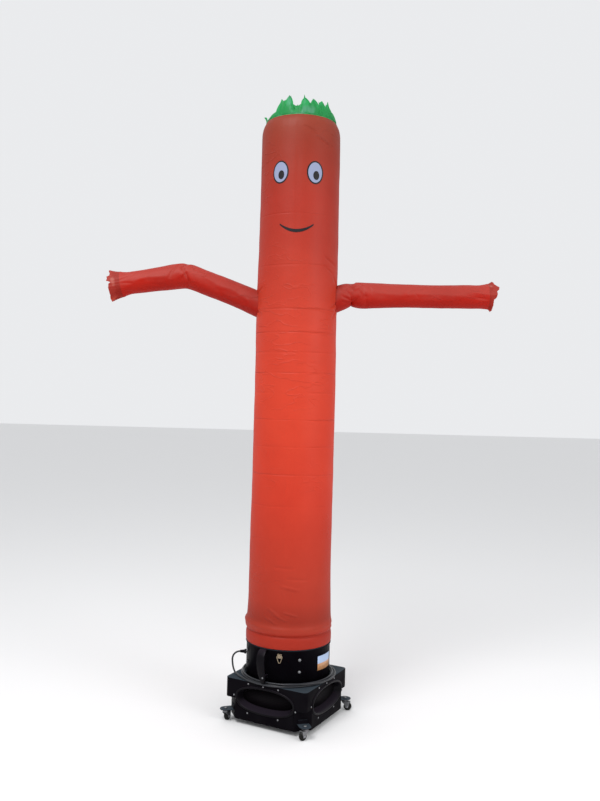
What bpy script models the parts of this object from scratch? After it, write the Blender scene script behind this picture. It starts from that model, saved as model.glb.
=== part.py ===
"""Inflatable air dancer: a cloth figure blown up by the box blower that it stands on.

Metres, +Z up. The origin is the centre of the base plate's underside, on the collar's axis. The figure
faces -Y and its arms reach along X. The wheels touch the floor below the origin.
"""

import math

import bmesh
import bpy
from mathutils import Matrix, Vector

# Fits
GAP = 0.0003
CLOTH = 0.002
TUBE_SIDES = 32
ARM_SIDES = 14
COLLAR_SIDES = 48
SHARP_FROM = math.radians(40.0)

# Blower box
HOUSING_YAW = math.radians(-28.0)
BOX_HALF = 0.215
BOX_HEIGHT = 0.182
BOX_WALL = 0.003
BOX_CORNER_R = 0.022
NOTCH_REACH = 0.2625
NOTCH_HEIGHT = 0.094
DUCT_R = 0.192

# Air inlets in the box's four sides
INLET_LENGTH = 0.300
INLET_HEIGHT = 0.112
INLET_Z = 0.1034
OVAL_SIDES = 20
OVAL_POWER = 2.3
RING_GAP = 0.00034
LIP_WIDTH = 0.007
LIP_PROUD = 0.004
FUNNEL_DEPTH = 0.030
FUNNEL_NARROWS = 0.017
GUARD_THICK = 0.0012
GUARD_OVERLAP = 0.002

# Collar, on top of the box
COLLAR_R = 0.200
COLLAR_WALL = 0.004
NECK_R = 0.1968
NECK_INSIDE_R = 0.1925
COLLAR_TOP = 0.412
BEAD_Z = 0.3405
BEAD_R = 0.0042
BOLT_R = 0.0075
BOLT_PROUD = 0.005
BOLT_AZIMUTHS = (-74.0, 16.0, 106.0, -164.0)
BOLT_HEIGHTS = (0.246, 0.301)

# Handle on the collar. Middle line of its strap: distance from the axis, height, sideways lean and width
HANDLE_AZIMUTH = math.radians(-121.6)
HANDLE_FOOT_WIDTH = 0.026
HANDLE_THICK = 0.007
HANDLE_LINE = (
    (0.2055, 0.339, -0.004, 0.034), (0.2165, 0.332, -0.004, 0.038), (0.2300, 0.316, -0.003, 0.040),
    (0.2375, 0.287, 0.000, 0.040), (0.2370, 0.257, 0.004, 0.039), (0.2335, 0.234, 0.007, 0.038),
    (0.2310, 0.215, 0.009, 0.030), (0.2295, 0.192, 0.011, 0.014),
)
HANDLE_FOOT_Z = (0.214, 0.228)
HANDLE_HIGH_FOOT_Z = (0.320, 0.3355)
KNOB_R = 0.006
KNOB_PROUD = 0.0075

# Lashing eye
EYE_AZIMUTH = math.radians(-100.5)
EYE_PLATE = (0.0025, 0.020, 0.020)
EYE_PLATE_Z = 0.318
EYE_WIRE_R = 0.0022
EYE_BAR_BELOW_TOP = 0.0065
KEEPER_HALF = 0.004
KEEPER_WALL = 0.0018
# Middle line of one half of the ring: sideways and below the bar, from the bar to the point
EYE_LINE = ((0.0090, 0.0), (0.0125, 0.007), (0.0075, 0.023), (0.0030, 0.034))

# Blank label plate on the collar
LABEL_AZIMUTHS = (-46.0, -15.0)
LABEL_Z = (0.239, 0.305)
LABEL_THICK = 0.001
LABEL_STEPS = 8

# Casters, one at each corner of the box
CASTER_REACH = 0.298
PLATE_TOP = 0.034
PLATE_THICK = 0.003
PLATE_OUTER_R = 0.028
UPSTAND_TOP = 0.052
UPSTAND_HALF = 0.022
WHEEL_R = 0.019
WHEEL_HALF = 0.008
WHEEL_SIDES = 24
WHEEL_Z = -0.004
TRAIL = 0.014
FORK_GAP = 0.0098
FORK_WALL = 0.002
HOOD_Z = 0.0175
# The fork's cheeks from front to back, along the wheel's way: place and height of the lower edge
CHEEK_LINE = ((-0.012, 0.0155), (-0.001, 0.0070), (0.007, -0.0100), (0.020, -0.0100), (0.025, 0.0080))
DOME_R = 0.0145
KING_R = 0.004
KING_HEAD_R = 0.0075
KING_HEAD = 0.0055
AXLE_R = 0.0035
AXLE_HEAD_R = 0.0055
AXLE_HEAD = 0.0022
RUNNING_GAP = 0.0003
# Casters in order round the box: name and the way each wheel trails
CASTERS = (("front", -135.0), ("right", -20.0), ("back", 110.0), ("left", 60.0))

# Mains lead
LEAD_R = 0.00425
GLAND_Z = 0.277
GLAND_LENGTH = 0.030
COIL_IN_R = 0.2045
COIL_OUT_R = 0.2230
COIL_TOP = 0.2085
# Middle line of the loop from the gland to the coil: distance from the axis, azimuth, height
LOOP_ROUTE = (
    (0.2310, 180.0, 0.2770), (0.2420, 180.1, 0.2755), (0.2530, 180.0, 0.2695), (0.2620, 179.4, 0.2580),
    (0.2675, 178.4, 0.2430), (0.2700, 177.2, 0.2260), (0.2695, 176.0, 0.2085), (0.2670, 176.4, 0.1950),
    (0.2625, 179.5, 0.1882), (0.2570, 185.0, 0.1870), (0.2490, 195.0, 0.1870), (0.2400, 207.0, 0.1870),
    (0.2330, 220.0, 0.1868), (0.2290, 232.0, 0.1868), (0.2280, 244.0, 0.1868), (0.2280, 254.0, 0.1868),
)
# Middle line of the tail from the coil to the plug
TAIL_ROUTE = (
    (0.2280, 48.0, 0.1892), (0.2290, 60.0, 0.1885), (0.2340, 72.0, 0.1872), (0.2430, 83.0, 0.1870),
    (0.2530, 91.0, 0.1870), (0.2580, 95.0, 0.1880),
)
PLUG_AZIMUTH = math.radians(102.5)
PLUG_R = 0.263
PLUG_SIZE = (0.036, 0.024, 0.020)
PLUG_TURN = math.radians(78.0)
PIN_SIZE = (0.018, 0.0015, 0.0063)
PIN_APART = 0.0126

# Sleeve of the figure: height and outer radius, from the hem to the top rim
TUBE_PROFILE = (
    (0.3475, 0.2032), (0.3600, 0.2048), (0.3840, 0.2046), (0.3970, 0.2020), (0.4030, 0.2003),
    (0.4080, 0.2026), (0.4150, 0.2070), (0.4250, 0.2088), (0.4380, 0.2078), (0.4540, 0.2032),
    (0.4920, 0.2002), (0.5920, 0.1972), (0.7720, 0.1958), (0.9920, 0.1952), (1.2120, 0.1946),
    (1.4320, 0.1942), (1.6520, 0.1938), (1.8120, 0.1936), (1.8820, 0.1934), (2.0520, 0.1926),
    (2.1720, 0.1915), (2.3120, 0.1904), (2.4720, 0.1890), (2.6320, 0.1885), (2.7320, 0.1883),
    (2.7640, 0.1868), (2.7870, 0.1820), (2.8020, 0.1752), (2.8120, 0.1690),
)
# The sleeve is modelled in three lengths, parted at level folds: name, lowest and highest height
SLEEVE_LENGTHS = (
    ("tube_foot", 0.3475, 1.2120), ("tube_waist", 1.2120, 1.8120), ("tube_head", 1.8120, 2.8120),
)
# Slow bulges that keep the sleeve from being a perfect round: how many round the sleeve, size, turn a metre
TUBE_BULGES = ((3, 0.0011, 0.9), (5, 0.0007, -1.7))
BULGE_FADES = 0.10

# Arms: x, z and radius along the middle line, from inside the body to the cuff
LEFT_ARM = (
    (-0.150, 1.932, 0.0620), (-0.235, 1.969, 0.0595), (-0.300, 1.994, 0.0580), (-0.365, 2.018, 0.0575),
    (-0.425, 2.039, 0.0580), (-0.470, 2.056, 0.0580), (-0.505, 2.0685, 0.0590), (-0.530, 2.0745, 0.0600),
    (-0.556, 2.0745, 0.0605), (-0.590, 2.0700, 0.0600), (-0.640, 2.0610, 0.0585), (-0.700, 2.0515, 0.0560),
    (-0.760, 2.0420, 0.0545), (-0.815, 2.0330, 0.0540), (-0.846, 2.0275, 0.0560),
)
RIGHT_ARM = (
    (0.140, 1.962, 0.0620), (0.212, 1.992, 0.0600), (0.238, 2.003, 0.0570), (0.256, 2.0070, 0.0545),
    (0.276, 2.0055, 0.0600), (0.312, 2.0025, 0.0630), (0.360, 2.0030, 0.0615), (0.420, 2.0045, 0.0590),
    (0.500, 2.0055, 0.0565), (0.600, 2.0060, 0.0555), (0.700, 2.0070, 0.0555), (0.800, 2.0090, 0.0560),
    (0.870, 2.0105, 0.0565), (0.915, 2.0120, 0.0580),
)

# Strips: how many, length, width, how far the tips stand out
CUFF_STRIPS = 12
CUFF_STRIP_WIDTH = 0.026
LEFT_CUFF = (0.062, 0.010)
RIGHT_CUFF = (0.048, 0.008)
CUFF_RING = 0.008
STRIP_THICK = 0.0012
# Share of a strip's length, its width there and its lean there, from root to tip
STRIP_FORM = ((0.0, 1.0, 0.0), (0.55, 0.75, 0.45), (1.0, 0.10, 1.0))
# How much shorter than the longest a cuff strip gets, and the least share of its lean
CUFF_SHORTER = 0.28
CUFF_LEAST_LEAN = 0.4
HAIR_RING = 0.010
HAIR_WIDTH = 0.042
# Length, outward lean and sideways lean of each hair strip, round from the right side over the back
HAIR_FORMS = (
    (0.030, -0.034, 0.000), (0.048, -0.024, 0.006), (0.070, -0.010, -0.006), (0.082, 0.002, 0.008),
    (0.060, 0.012, -0.010), (0.078, -0.008, 0.004), (0.088, -0.014, -0.008), (0.056, 0.016, 0.010),
    (0.074, 0.002, -0.004), (0.064, -0.012, 0.008), (0.046, -0.028, 0.000), (0.030, -0.036, 0.004),
    (0.025, 0.010, 0.000), (0.036, -0.034, 0.002), (0.048, -0.040, 0.006), (0.074, -0.010, 0.008),
    (0.084, 0.004, 0.012), (0.042, -0.012, 0.000), (0.080, 0.002, -0.012), (0.069, 0.006, -0.018),
    (0.068, -0.008, -0.014), (0.074, -0.014, -0.008), (0.046, -0.018, 0.000), (0.028, -0.030, 0.000),
)


def clear_scene():
    for obj in list(bpy.data.objects):
        bpy.data.objects.remove(obj, do_unlink=True)


def material(name, colour, roughness, metallic=0.0):
    made = bpy.data.materials.new(name)
    made.use_nodes = True
    shader = made.node_tree.nodes["Principled BSDF"]
    shader.inputs["Base Color"].default_value = (*colour, 1.0)
    shader.inputs["Roughness"].default_value = roughness
    shader.inputs["Metallic"].default_value = metallic
    return made


def make_object(name, bm, mat, parent=None):
    """Turns a bmesh into an object, with its faces facing out."""
    bmesh.ops.recalc_face_normals(bm, faces=bm.faces)
    mesh = bpy.data.meshes.new(name)
    bm.to_mesh(mesh)
    bm.free()
    mesh.shade_smooth()
    mesh.set_sharp_from_angle(angle=SHARP_FROM)
    obj = bpy.data.objects.new(name, mesh)
    bpy.context.scene.collection.objects.link(obj)
    if mat:
        obj.data.materials.append(mat)
    if parent:
        obj.parent = parent
    return obj


def empty(name, location=(0.0, 0.0, 0.0), yaw=0.0, parent=None):
    obj = bpy.data.objects.new(name, None)
    bpy.context.scene.collection.objects.link(obj)
    obj.location = location
    obj.rotation_euler = (0.0, 0.0, yaw)
    if parent:
        obj.parent = parent
    return obj


def cutter(obj):
    obj.hide_render = True
    obj.display_type = "WIRE"
    return obj


def boolean(obj, other, operation):
    step = obj.modifiers.new(operation.title(), "BOOLEAN")
    step.operation = operation
    step.object = other
    return obj


def polar(radius, azimuth, z):
    return Vector((radius * math.cos(azimuth), radius * math.sin(azimuth), z))


def circle(sides, radius, start=0.0):
    angles = [start + math.tau * i / sides for i in range(sides)]
    return [(radius * math.cos(angle), radius * math.sin(angle)) for angle in angles]


def rounded_square(half, corner, steps=4):
    """Corners as arcs, anticlockwise."""
    points = []
    for quarter in range(4):
        turn = quarter * math.pi / 2
        centre = Vector((half - corner, half - corner))
        for i in range(steps + 1):
            angle = i * math.pi / 2 / steps
            point = centre + corner * Vector((math.cos(angle), math.sin(angle)))
            points.append((point.x * math.cos(turn) - point.y * math.sin(turn),
                           point.x * math.sin(turn) + point.y * math.cos(turn)))
    return points


def oval(length, height):
    """An intake's outline: an oval with fuller ends than an ellipse, anticlockwise."""
    points = []
    for i in range(OVAL_SIDES):
        angle = math.tau * (i + 0.5) / OVAL_SIDES
        across, up = math.cos(angle), math.sin(angle)
        share = (abs(across) ** OVAL_POWER + abs(up) ** OVAL_POWER) ** (-1 / OVAL_POWER)
        points.append((length / 2 * across * share, height / 2 * up * share))
    return points


def add_loop(bm, points):
    return [bm.verts.new(point) for point in points]


def bridge(bm, first, second):
    for i in range(len(first)):
        j = (i + 1) % len(first)
        bm.faces.new((first[i], first[j], second[j], second[i]))


def loft(bm, rings, closed=False):
    """Joins rings of points into a skin, with a face at each end or round to the first ring again."""
    loops = [add_loop(bm, ring) for ring in rings]
    for first, second in zip(loops, loops[1:]):
        bridge(bm, first, second)
    if closed:
        bridge(bm, loops[-1], loops[0])
    else:
        bm.faces.new(loops[0])
        bm.faces.new(loops[-1])
    return bm


def prism(name, outline, low, high, mat=None, parent=None):
    rings = [[(x, y, z) for x, y in outline] for z in (low, high)]
    return make_object(name, loft(bmesh.new(), rings), mat, parent)


def turned(name, profile, sides, mat, parent=None):
    """A closed ring with the given (radius, height) section."""
    rings = [[(x, y, z) for x, y in circle(sides, radius)] for radius, z in profile]
    return make_object(name, loft(bmesh.new(), rings, closed=True), mat, parent)


def smooth_line(points, count):
    """Even points on a Catmull-Rom curve through the given ones."""
    ends = [points[0] * 2 - points[1], *points, points[-1] * 2 - points[-2]]
    fine = []
    for a, b, c, d in zip(ends, ends[1:], ends[2:], ends[3:]):
        for i in range(12):
            t = i / 12
            fine.append(0.5 * (2 * b + (c - a) * t + (2 * a - 5 * b + 4 * c - d) * t * t
                               + (3 * b - a - 3 * c + d) * t ** 3))
    fine.append(points[-1])
    lengths = [0.0]
    for first, second in zip(fine, fine[1:]):
        lengths.append(lengths[-1] + (second - first).length)
    line, at = [], 0
    for i in range(count):
        want = lengths[-1] * i / (count - 1)
        while at < len(lengths) - 2 and lengths[at + 1] < want:
            at += 1
        share = (want - lengths[at]) / (lengths[at + 1] - lengths[at])
        line.append(fine[at].lerp(fine[at + 1], share))
    return line


def frame_on(azimuth, radius, z):
    """A frame on the collar: local +X points out, +Y along the collar, +Z up."""
    return Matrix.Translation(polar(radius, azimuth, z)) @ Matrix.Rotation(azimuth, 4, "Z")


# Cloth figure


def tube_radius(z, angle):
    """Outer radius of the sleeve at a height, with its slow bulges."""
    low = TUBE_PROFILE[0]
    for high in TUBE_PROFILE[1:]:
        if z <= high[0]:
            break
        low = high
    share = (z - low[0]) / (high[0] - low[0]) if high != low else 0.0
    radius = low[1] + (high[1] - low[1]) * min(max(share, 0.0), 1.0)
    ends = min(z - TUBE_PROFILE[10][0], TUBE_PROFILE[-5][0] - z)
    fade = min(max(ends / BULGE_FADES, 0.0), 1.0)
    for count, size, turn in TUBE_BULGES:
        radius += fade * size * math.sin(count * angle + turn * math.tau * z)
    return radius


def tube_ring(z, offset):
    ring = []
    for i in range(TUBE_SIDES):
        angle = math.tau * i / TUBE_SIDES
        radius = tube_radius(z, angle) + offset
        ring.append((radius * math.cos(angle), radius * math.sin(angle), z))
    return ring


def arm_rings(table, offset):
    """Rings square to the arm's middle line. Each ring starts at the top."""
    rings = []
    for i, (x, z, radius) in enumerate(table):
        before = table[max(i - 1, 0)]
        after = table[min(i + 1, len(table) - 1)]
        along = Vector((after[0] - before[0], 0.0, after[1] - before[1])).normalized()
        up = Vector((-along.z, 0.0, along.x)) * (1.0 if along.x > 0 else -1.0)
        side = Vector((0.0, 1.0, 0.0))
        ring = []
        for k in range(ARM_SIDES):
            angle = math.tau * k / ARM_SIDES
            across = math.cos(angle) * up + math.sin(angle) * side
            ring.append(Vector((x, 0.0, z)) + (radius + offset) * across)
        rings.append(ring)
    return rings


def make_body(cloth):
    """The sleeve's lengths, one over the other. The arms open into the highest."""
    for name, low, high in SLEEVE_LENGTHS:
        heights = [z for z, _ in TUBE_PROFILE if low <= z <= high]
        if low > TUBE_PROFILE[0][0]:
            heights[0] += GAP
        outer = [tube_ring(z, 0.0) for z in heights]
        inner = [tube_ring(z, -CLOTH) for z in reversed(heights)]
        sleeve = make_object(name, loft(bmesh.new(), outer + inner, closed=True), cloth)
    for name, table in (("left_hole", LEFT_ARM), ("right_hole", RIGHT_ARM)):
        hole = cutter(make_object(name, loft(bmesh.new(), arm_rings(table[:2], -2 * CLOTH)), None))
        boolean(sleeve, hole, "DIFFERENCE")


def make_arm(name, table, cloth, core):
    outer = arm_rings(table, 0.0)
    inner = arm_rings(table, -CLOTH)[::-1]
    arm = make_object(name, loft(bmesh.new(), outer + inner, closed=True), cloth)
    return boolean(arm, core, "DIFFERENCE")


def strip_points(base, side, out, length, width, lean, sideways=0.0):
    """A pointed strip as a thin blade of four sides: two rings and a tip ring."""
    along = out.cross(side)
    rings = []
    for share, wide, off in STRIP_FORM:
        centre = base + along * (length * share) + (out * lean + side * sideways) * off
        half = side * (width * wide / 2)
        depth = out * (STRIP_THICK / 2)
        rings.append([centre - half - depth, centre + half - depth,
                      centre + half + depth, centre - half + depth])
    return rings


def make_hair(green):
    """Pointed strips on a narrow ring just over the top rim."""
    rim_z, rim_r = TUBE_PROFILE[-1]
    count = len(HAIR_FORMS)
    low = rim_z + GAP
    high = low + HAIR_RING
    radius = rim_r - CLOTH / 2
    half = CLOTH / 2
    ring = turned("hair_fringe", ((radius - half, low), (radius + half, low), (radius + half, high),
                                  (radius - half, high)), count, green)
    blades = bmesh.new()
    for i, (length, lean, sideways) in enumerate(HAIR_FORMS):
        angle = math.tau * (i + 0.5) / count
        out = Vector((math.cos(angle), math.sin(angle), 0.0))
        side = Vector((-out.y, out.x, 0.0))
        base = out * (radius * math.cos(math.pi / count)) + Vector((0.0, 0.0, high - HAIR_RING / 2))
        loft(blades, strip_points(base, side, out, length, HAIR_WIDTH, lean, sideways))
    strips = cutter(make_object("hair_strips", blades, None))
    return boolean(ring, strips, "UNION")


def make_cuff(name, table, form, cloth):
    """A short ring at the arm's end, with strips that flare from it."""
    longest, flare = form
    (x0, z0, _), (x1, z1, radius) = table[-2:]
    along = Vector((x1 - x0, 0.0, z1 - z0)).normalized()
    turn = along.to_track_quat("Z", "Y").to_matrix().to_4x4()
    start = Vector((x1, 0.0, z1)) + along * GAP
    middle = radius - CLOTH / 2
    half = CLOTH / 2
    ring = turned(name, ((middle - half, 0.0), (middle + half, 0.0), (middle + half, CUFF_RING),
                         (middle - half, CUFF_RING)), CUFF_STRIPS, cloth)
    blades = bmesh.new()
    for i in range(CUFF_STRIPS):
        angle = math.tau * (i + 0.5) / CUFF_STRIPS
        out = Vector((math.cos(angle), math.sin(angle), 0.0))
        side = Vector((-out.y, out.x, 0.0))
        length = longest * (1.0 - CUFF_SHORTER * ((i * 4) % CUFF_STRIPS) / CUFF_STRIPS)
        base = out * (middle * math.cos(math.pi / CUFF_STRIPS)) + Vector((0.0, 0.0, CUFF_RING / 2))
        lean = flare * (CUFF_LEAST_LEAN + (1.0 - CUFF_LEAST_LEAN) * ((i * 3) % CUFF_STRIPS) / CUFF_STRIPS)
        loft(blades, strip_points(base, side, out, length, CUFF_STRIP_WIDTH, lean))
    strips = cutter(make_object(name + "_strips", blades, None))
    boolean(ring, strips, "UNION")
    for obj in (ring, strips):
        obj.matrix_world = Matrix.Translation(start) @ turn
    return ring


def make_figure(cloth, green):
    make_body(cloth)
    heights = [z for z, _ in TUBE_PROFILE if 1.6 < z < 2.4]
    core = cutter(make_object("body_core", loft(bmesh.new(), [tube_ring(z, GAP) for z in heights]), None))
    make_arm("arm_left", LEFT_ARM, cloth, core)
    make_arm("arm_right", RIGHT_ARM, cloth, core)
    make_cuff("cuff_frill_left", LEFT_ARM, LEFT_CUFF, cloth)
    make_cuff("cuff_frill_right", RIGHT_ARM, RIGHT_CUFF, cloth)
    make_hair(green)


# Blower box


def notched_square(shrink):
    """The box's low outline, with its corners cut straight across."""
    half = BOX_HALF - shrink
    reach = (NOTCH_REACH - shrink) * math.sqrt(2.0)
    short = reach - half
    corner = [(half, short), (short, half)]
    return [(x * c - y * s, x * s + y * c) for c, s in ((1, 0), (0, 1), (-1, 0), (0, -1)) for x, y in corner]


def side_prism(name, outline, near, far, parent):
    """A prism that runs out from the box's +X side: the outline is along the side and up it."""
    rings = [[(x, y, INLET_Z + z) for y, z in outline] for x in (near, far)]
    return make_object(name, loft(bmesh.new(), rings), None, parent)


def make_housing(black, base):
    high = prism("housing", rounded_square(BOX_HALF, BOX_CORNER_R), NOTCH_HEIGHT, BOX_HEIGHT, black, base)
    low = prism("box_low", notched_square(0.0), 0.0, NOTCH_HEIGHT + BOX_WALL, None, base)
    boolean(high, cutter(low), "UNION")
    inner = rounded_square(BOX_HALF - BOX_WALL, BOX_CORNER_R - BOX_WALL)
    upper = prism("hollow_high", inner, NOTCH_HEIGHT + BOX_WALL, BOX_HEIGHT - BOX_WALL, None, base)
    lower = prism("hollow_low", notched_square(BOX_WALL), BOX_WALL, NOTCH_HEIGHT + 2 * BOX_WALL, None, base)
    boolean(high, cutter(upper), "DIFFERENCE")
    boolean(high, cutter(lower), "DIFFERENCE")
    duct = prism("duct_hole", circle(COLLAR_SIDES, DUCT_R), BOX_HEIGHT - 2 * BOX_WALL,
                 BOX_HEIGHT + BOX_WALL, None, base)
    boolean(high, cutter(duct), "DIFFERENCE")
    for quarter in range(4):
        window = side_prism(f"window_{quarter}", oval(INLET_LENGTH, INLET_HEIGHT),
                            BOX_HALF - 3 * BOX_WALL, BOX_HALF + BOX_WALL, base)
        window.rotation_euler = (0.0, 0.0, quarter * math.pi / 2)
        boolean(high, cutter(window), "DIFFERENCE")
    return high


def inlet_section():
    """Lip and funnel of an inlet: how far inside the window's outline, and distance from the box's axis."""
    face = BOX_HALF + GAP
    return (
        (RING_GAP, face - BOX_WALL), (RING_GAP, face), (-LIP_WIDTH, face),
        (-LIP_WIDTH * 0.7, face + LIP_PROUD * 0.8), (-LIP_WIDTH * 0.1, face + LIP_PROUD),
        (0.003, face + 0.001), (0.007, face - 0.007),
        (FUNNEL_NARROWS, face - FUNNEL_DEPTH), (FUNNEL_NARROWS - 0.0025, face - FUNNEL_DEPTH),
        (0.0045, face - 0.008),
    )


def make_inlet(index, black, dark, base):
    """One inlet's rolled lip and funnel, and the guard that closes the funnel's inner end."""
    turn = (0.0, 0.0, index * math.pi / 2)
    rings = []
    for inset, x in inlet_section():
        outline = oval(INLET_LENGTH - 2 * inset, INLET_HEIGHT - 2 * inset)
        rings.append([(x, y, INLET_Z + z) for y, z in outline])
    ring = make_object(f"inlet_ring_{index}", loft(bmesh.new(), rings, closed=True), black, base)
    ring.rotation_euler = turn
    bm = bmesh.new()
    inset = 2 * (FUNNEL_NARROWS - GUARD_OVERLAP)
    outline = oval(INLET_LENGTH - inset, INLET_HEIGHT - inset)
    back = BOX_HALF - FUNNEL_DEPTH
    loft(bm, [[(x, y, INLET_Z + z) for y, z in outline] for x in (back - GUARD_THICK, back)])
    guard = make_object(f"inlet_guard_{index}", bm, dark, base)
    guard.rotation_euler = turn


# Collar and what is fixed to it


def make_collar(black):
    foot = BOX_HEIGHT + GAP
    inside = COLLAR_R - COLLAR_WALL
    bead = [(COLLAR_R + BEAD_R * math.sin(angle), BEAD_Z - BEAD_R * math.cos(angle))
            for angle in (math.pi * i / 4 for i in range(5))]
    profile = [(inside, foot), (COLLAR_R, foot), *bead, (NECK_R, BEAD_Z + BEAD_R),
               (NECK_R, COLLAR_TOP - 0.002), (NECK_R - 0.0015, COLLAR_TOP), (NECK_INSIDE_R, COLLAR_TOP)]
    return turned("collar", profile, COLLAR_SIDES, black)


def round_head(bm, matrix, radius, proud, sides=10):
    """A low domed head whose flat side lies on the frame's YZ plane, standing out along +X."""
    rings = []
    for share, x in ((1.0, 0.0), (1.0, proud * 0.35), (0.8, proud * 0.8), (0.35, proud)):
        rings.append([matrix @ Vector((x, a, b)) for a, b in circle(sides, radius * share)])
    loft(bm, rings)


def make_bolts(steel):
    for azimuth in BOLT_AZIMUTHS:
        for level, z in zip(("low", "high"), BOLT_HEIGHTS):
            bm = bmesh.new()
            round_head(bm, frame_on(math.radians(azimuth), COLLAR_R + GAP, z), BOLT_R, BOLT_PROUD)
            side = f"{int(azimuth) % 360:03d}"
            make_object(f"collar_bolt_{side}_{level}", bm, steel)


def make_handle(black):
    """A bowed strap that narrows to a tongue, on two feet, with a knob at the lower one."""
    turn = Matrix.Rotation(HANDLE_AZIMUTH, 4, "Z")
    points = [Vector((radius, z)) for radius, z, _, _ in HANDLE_LINE]
    rings = []
    for i, (point, (_, _, lean, width)) in enumerate(zip(points, HANDLE_LINE)):
        before, after = points[max(i - 1, 0)], points[min(i + 1, len(points) - 1)]
        along = (after - before).normalized()
        out = Vector((-along.y, along.x)) * (HANDLE_THICK / 2)
        rings.append([turn @ Vector((point.x + f * out.x, lean + edge * width / 2, point.y + f * out.y))
                      for f, edge in ((1, -1), (1, 1), (-1, 1), (-1, -1))])
    handle = make_object("handle", loft(bmesh.new(), rings), black)
    near = COLLAR_R + 2 * GAP
    for name, low, high, row in (("handle_foot_low", *HANDLE_FOOT_Z, HANDLE_LINE[5]),
                                 ("handle_foot_high", *HANDLE_HIGH_FOOT_Z, HANDLE_LINE[1])):
        far, _, lean, _ = row
        right, left = lean - HANDLE_FOOT_WIDTH / 2, lean + HANDLE_FOOT_WIDTH / 2
        foot = cutter(prism(name, [(near, right), (far, right), (far, left), (near, left)], low, high))
        foot.rotation_euler = (0.0, 0.0, HANDLE_AZIMUTH)
        boolean(handle, foot, "UNION")
    knob = bmesh.new()
    far, _, lean, width = HANDLE_LINE[5]
    place = Matrix.Translation((far, lean + width / 4, sum(HANDLE_FOOT_Z) / 2))
    round_head(knob, turn @ place, KNOB_R, KNOB_PROUD, 8)
    return boolean(handle, cutter(make_object("handle_knob", knob, None)), "UNION")


def box_between(name, low, high, matrix):
    """A plain box between two corners, in a frame."""
    low, high = Vector(low), Vector(high)
    size = high - low
    bm = bmesh.new()
    place = Matrix.Translation((low + high) / 2) @ Matrix.Diagonal((*size, 1.0))
    bmesh.ops.create_cube(bm, size=1.0, matrix=matrix @ place)
    return make_object(name, bm, None)


def make_eye(steel):
    """A small plate with a V-shaped ring that hangs from its keeper."""
    thick, wide, tall = EYE_PLATE
    frame = frame_on(EYE_AZIMUTH, COLLAR_R + GAP, EYE_PLATE_Z)
    plate = box_between("lashing_plate", (0.0, -wide / 2, -tall / 2), (thick, wide / 2, tall / 2), frame)
    plate.data.materials.append(steel)
    bar_x = thick + GAP + EYE_WIRE_R
    bar_z = tall / 2 - EYE_BAR_BELOW_TOP
    shelf_z = bar_z + EYE_WIRE_R + GAP
    front_x = bar_x + EYE_WIRE_R + GAP
    shelf = box_between("keeper_shelf", (thick / 2, -KEEPER_HALF, shelf_z),
                        (front_x + KEEPER_WALL, KEEPER_HALF, shelf_z + KEEPER_WALL), frame)
    front = box_between("keeper_front", (front_x, -KEEPER_HALF, bar_z - EYE_WIRE_R),
                        (front_x + KEEPER_WALL, KEEPER_HALF, shelf_z + KEEPER_WALL / 2), frame)
    boolean(plate, cutter(shelf), "UNION")
    boolean(plate, cutter(front), "UNION")
    corners = [(y, -drop) for y, drop in EYE_LINE] + [(-y, -drop) for y, drop in reversed(EYE_LINE)]
    out = Vector((1.0, 0.0, 0.0))
    rings = []
    for i, (y, z) in enumerate(corners):
        before, after = corners[i - 1], corners[(i + 1) % len(corners)]
        across = out.cross(Vector((0.0, after[0] - before[0], after[1] - before[1])).normalized())
        middle = Vector((bar_x, y, bar_z + z))
        rings.append([frame @ (middle + EYE_WIRE_R * (math.cos(a) * out + math.sin(a) * across))
                      for a in (math.tau * k / 6 for k in range(6))])
    make_object("lashing_ring", loft(bmesh.new(), rings, closed=True), steel)


def make_label(paper):
    """A thin blank plate bent round the collar."""
    near = COLLAR_R + GAP
    outline = [(near, LABEL_Z[0]), (near + LABEL_THICK, LABEL_Z[0]), (near + LABEL_THICK, LABEL_Z[1]),
               (near, LABEL_Z[1])]
    first, last = (math.radians(a) for a in LABEL_AZIMUTHS)
    rings = [[polar(radius, first + (last - first) * i / LABEL_STEPS, z) for radius, z in outline]
             for i in range(LABEL_STEPS + 1)]
    return make_object("label_plate", loft(bmesh.new(), rings), paper)


# Mains lead


def route(table):
    return [polar(radius, math.radians(azimuth), z) for radius, azimuth, z in table]


def make_lead_run(name, table, count, rubber):
    curve = bpy.data.curves.new(name, "CURVE")
    curve.dimensions = "3D"
    curve.bevel_depth = LEAD_R
    curve.bevel_resolution = 2
    curve.use_fill_caps = True
    line = smooth_line(route(table), count)
    spline = curve.splines.new("POLY")
    spline.points.add(len(line) - 1)
    for point, place in zip(spline.points, line):
        point.co = (*place, 1.0)
    obj = bpy.data.objects.new(name, curve)
    bpy.context.scene.collection.objects.link(obj)
    obj.data.materials.append(rubber)
    return obj


def make_coil(rubber):
    """The turns of lead laid round the collar's foot, as one ring."""
    foot = BOX_HEIGHT + GAP
    section = ((COIL_IN_R, foot), (COIL_OUT_R, foot), (COIL_OUT_R, COIL_TOP), (COIL_IN_R, COIL_TOP))
    return turned("cord_coil", section, 40, rubber)


def make_gland(black):
    """Strain relief: a hexagonal nut and a tapered nose, pointing along -X."""
    bm = bmesh.new()
    near = COLLAR_R + GAP
    rings = []
    for radius, x in ((0.0115, near + 0.0005), (0.0115, near + 0.009), (0.0085, near + 0.0095),
                      (0.0062, near + GLAND_LENGTH - GAP)):
        rings.append([(-x, a, GLAND_Z + b) for a, b in circle(12, radius)])
    loft(bm, rings)
    return make_object("cord_gland", bm, black)


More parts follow.
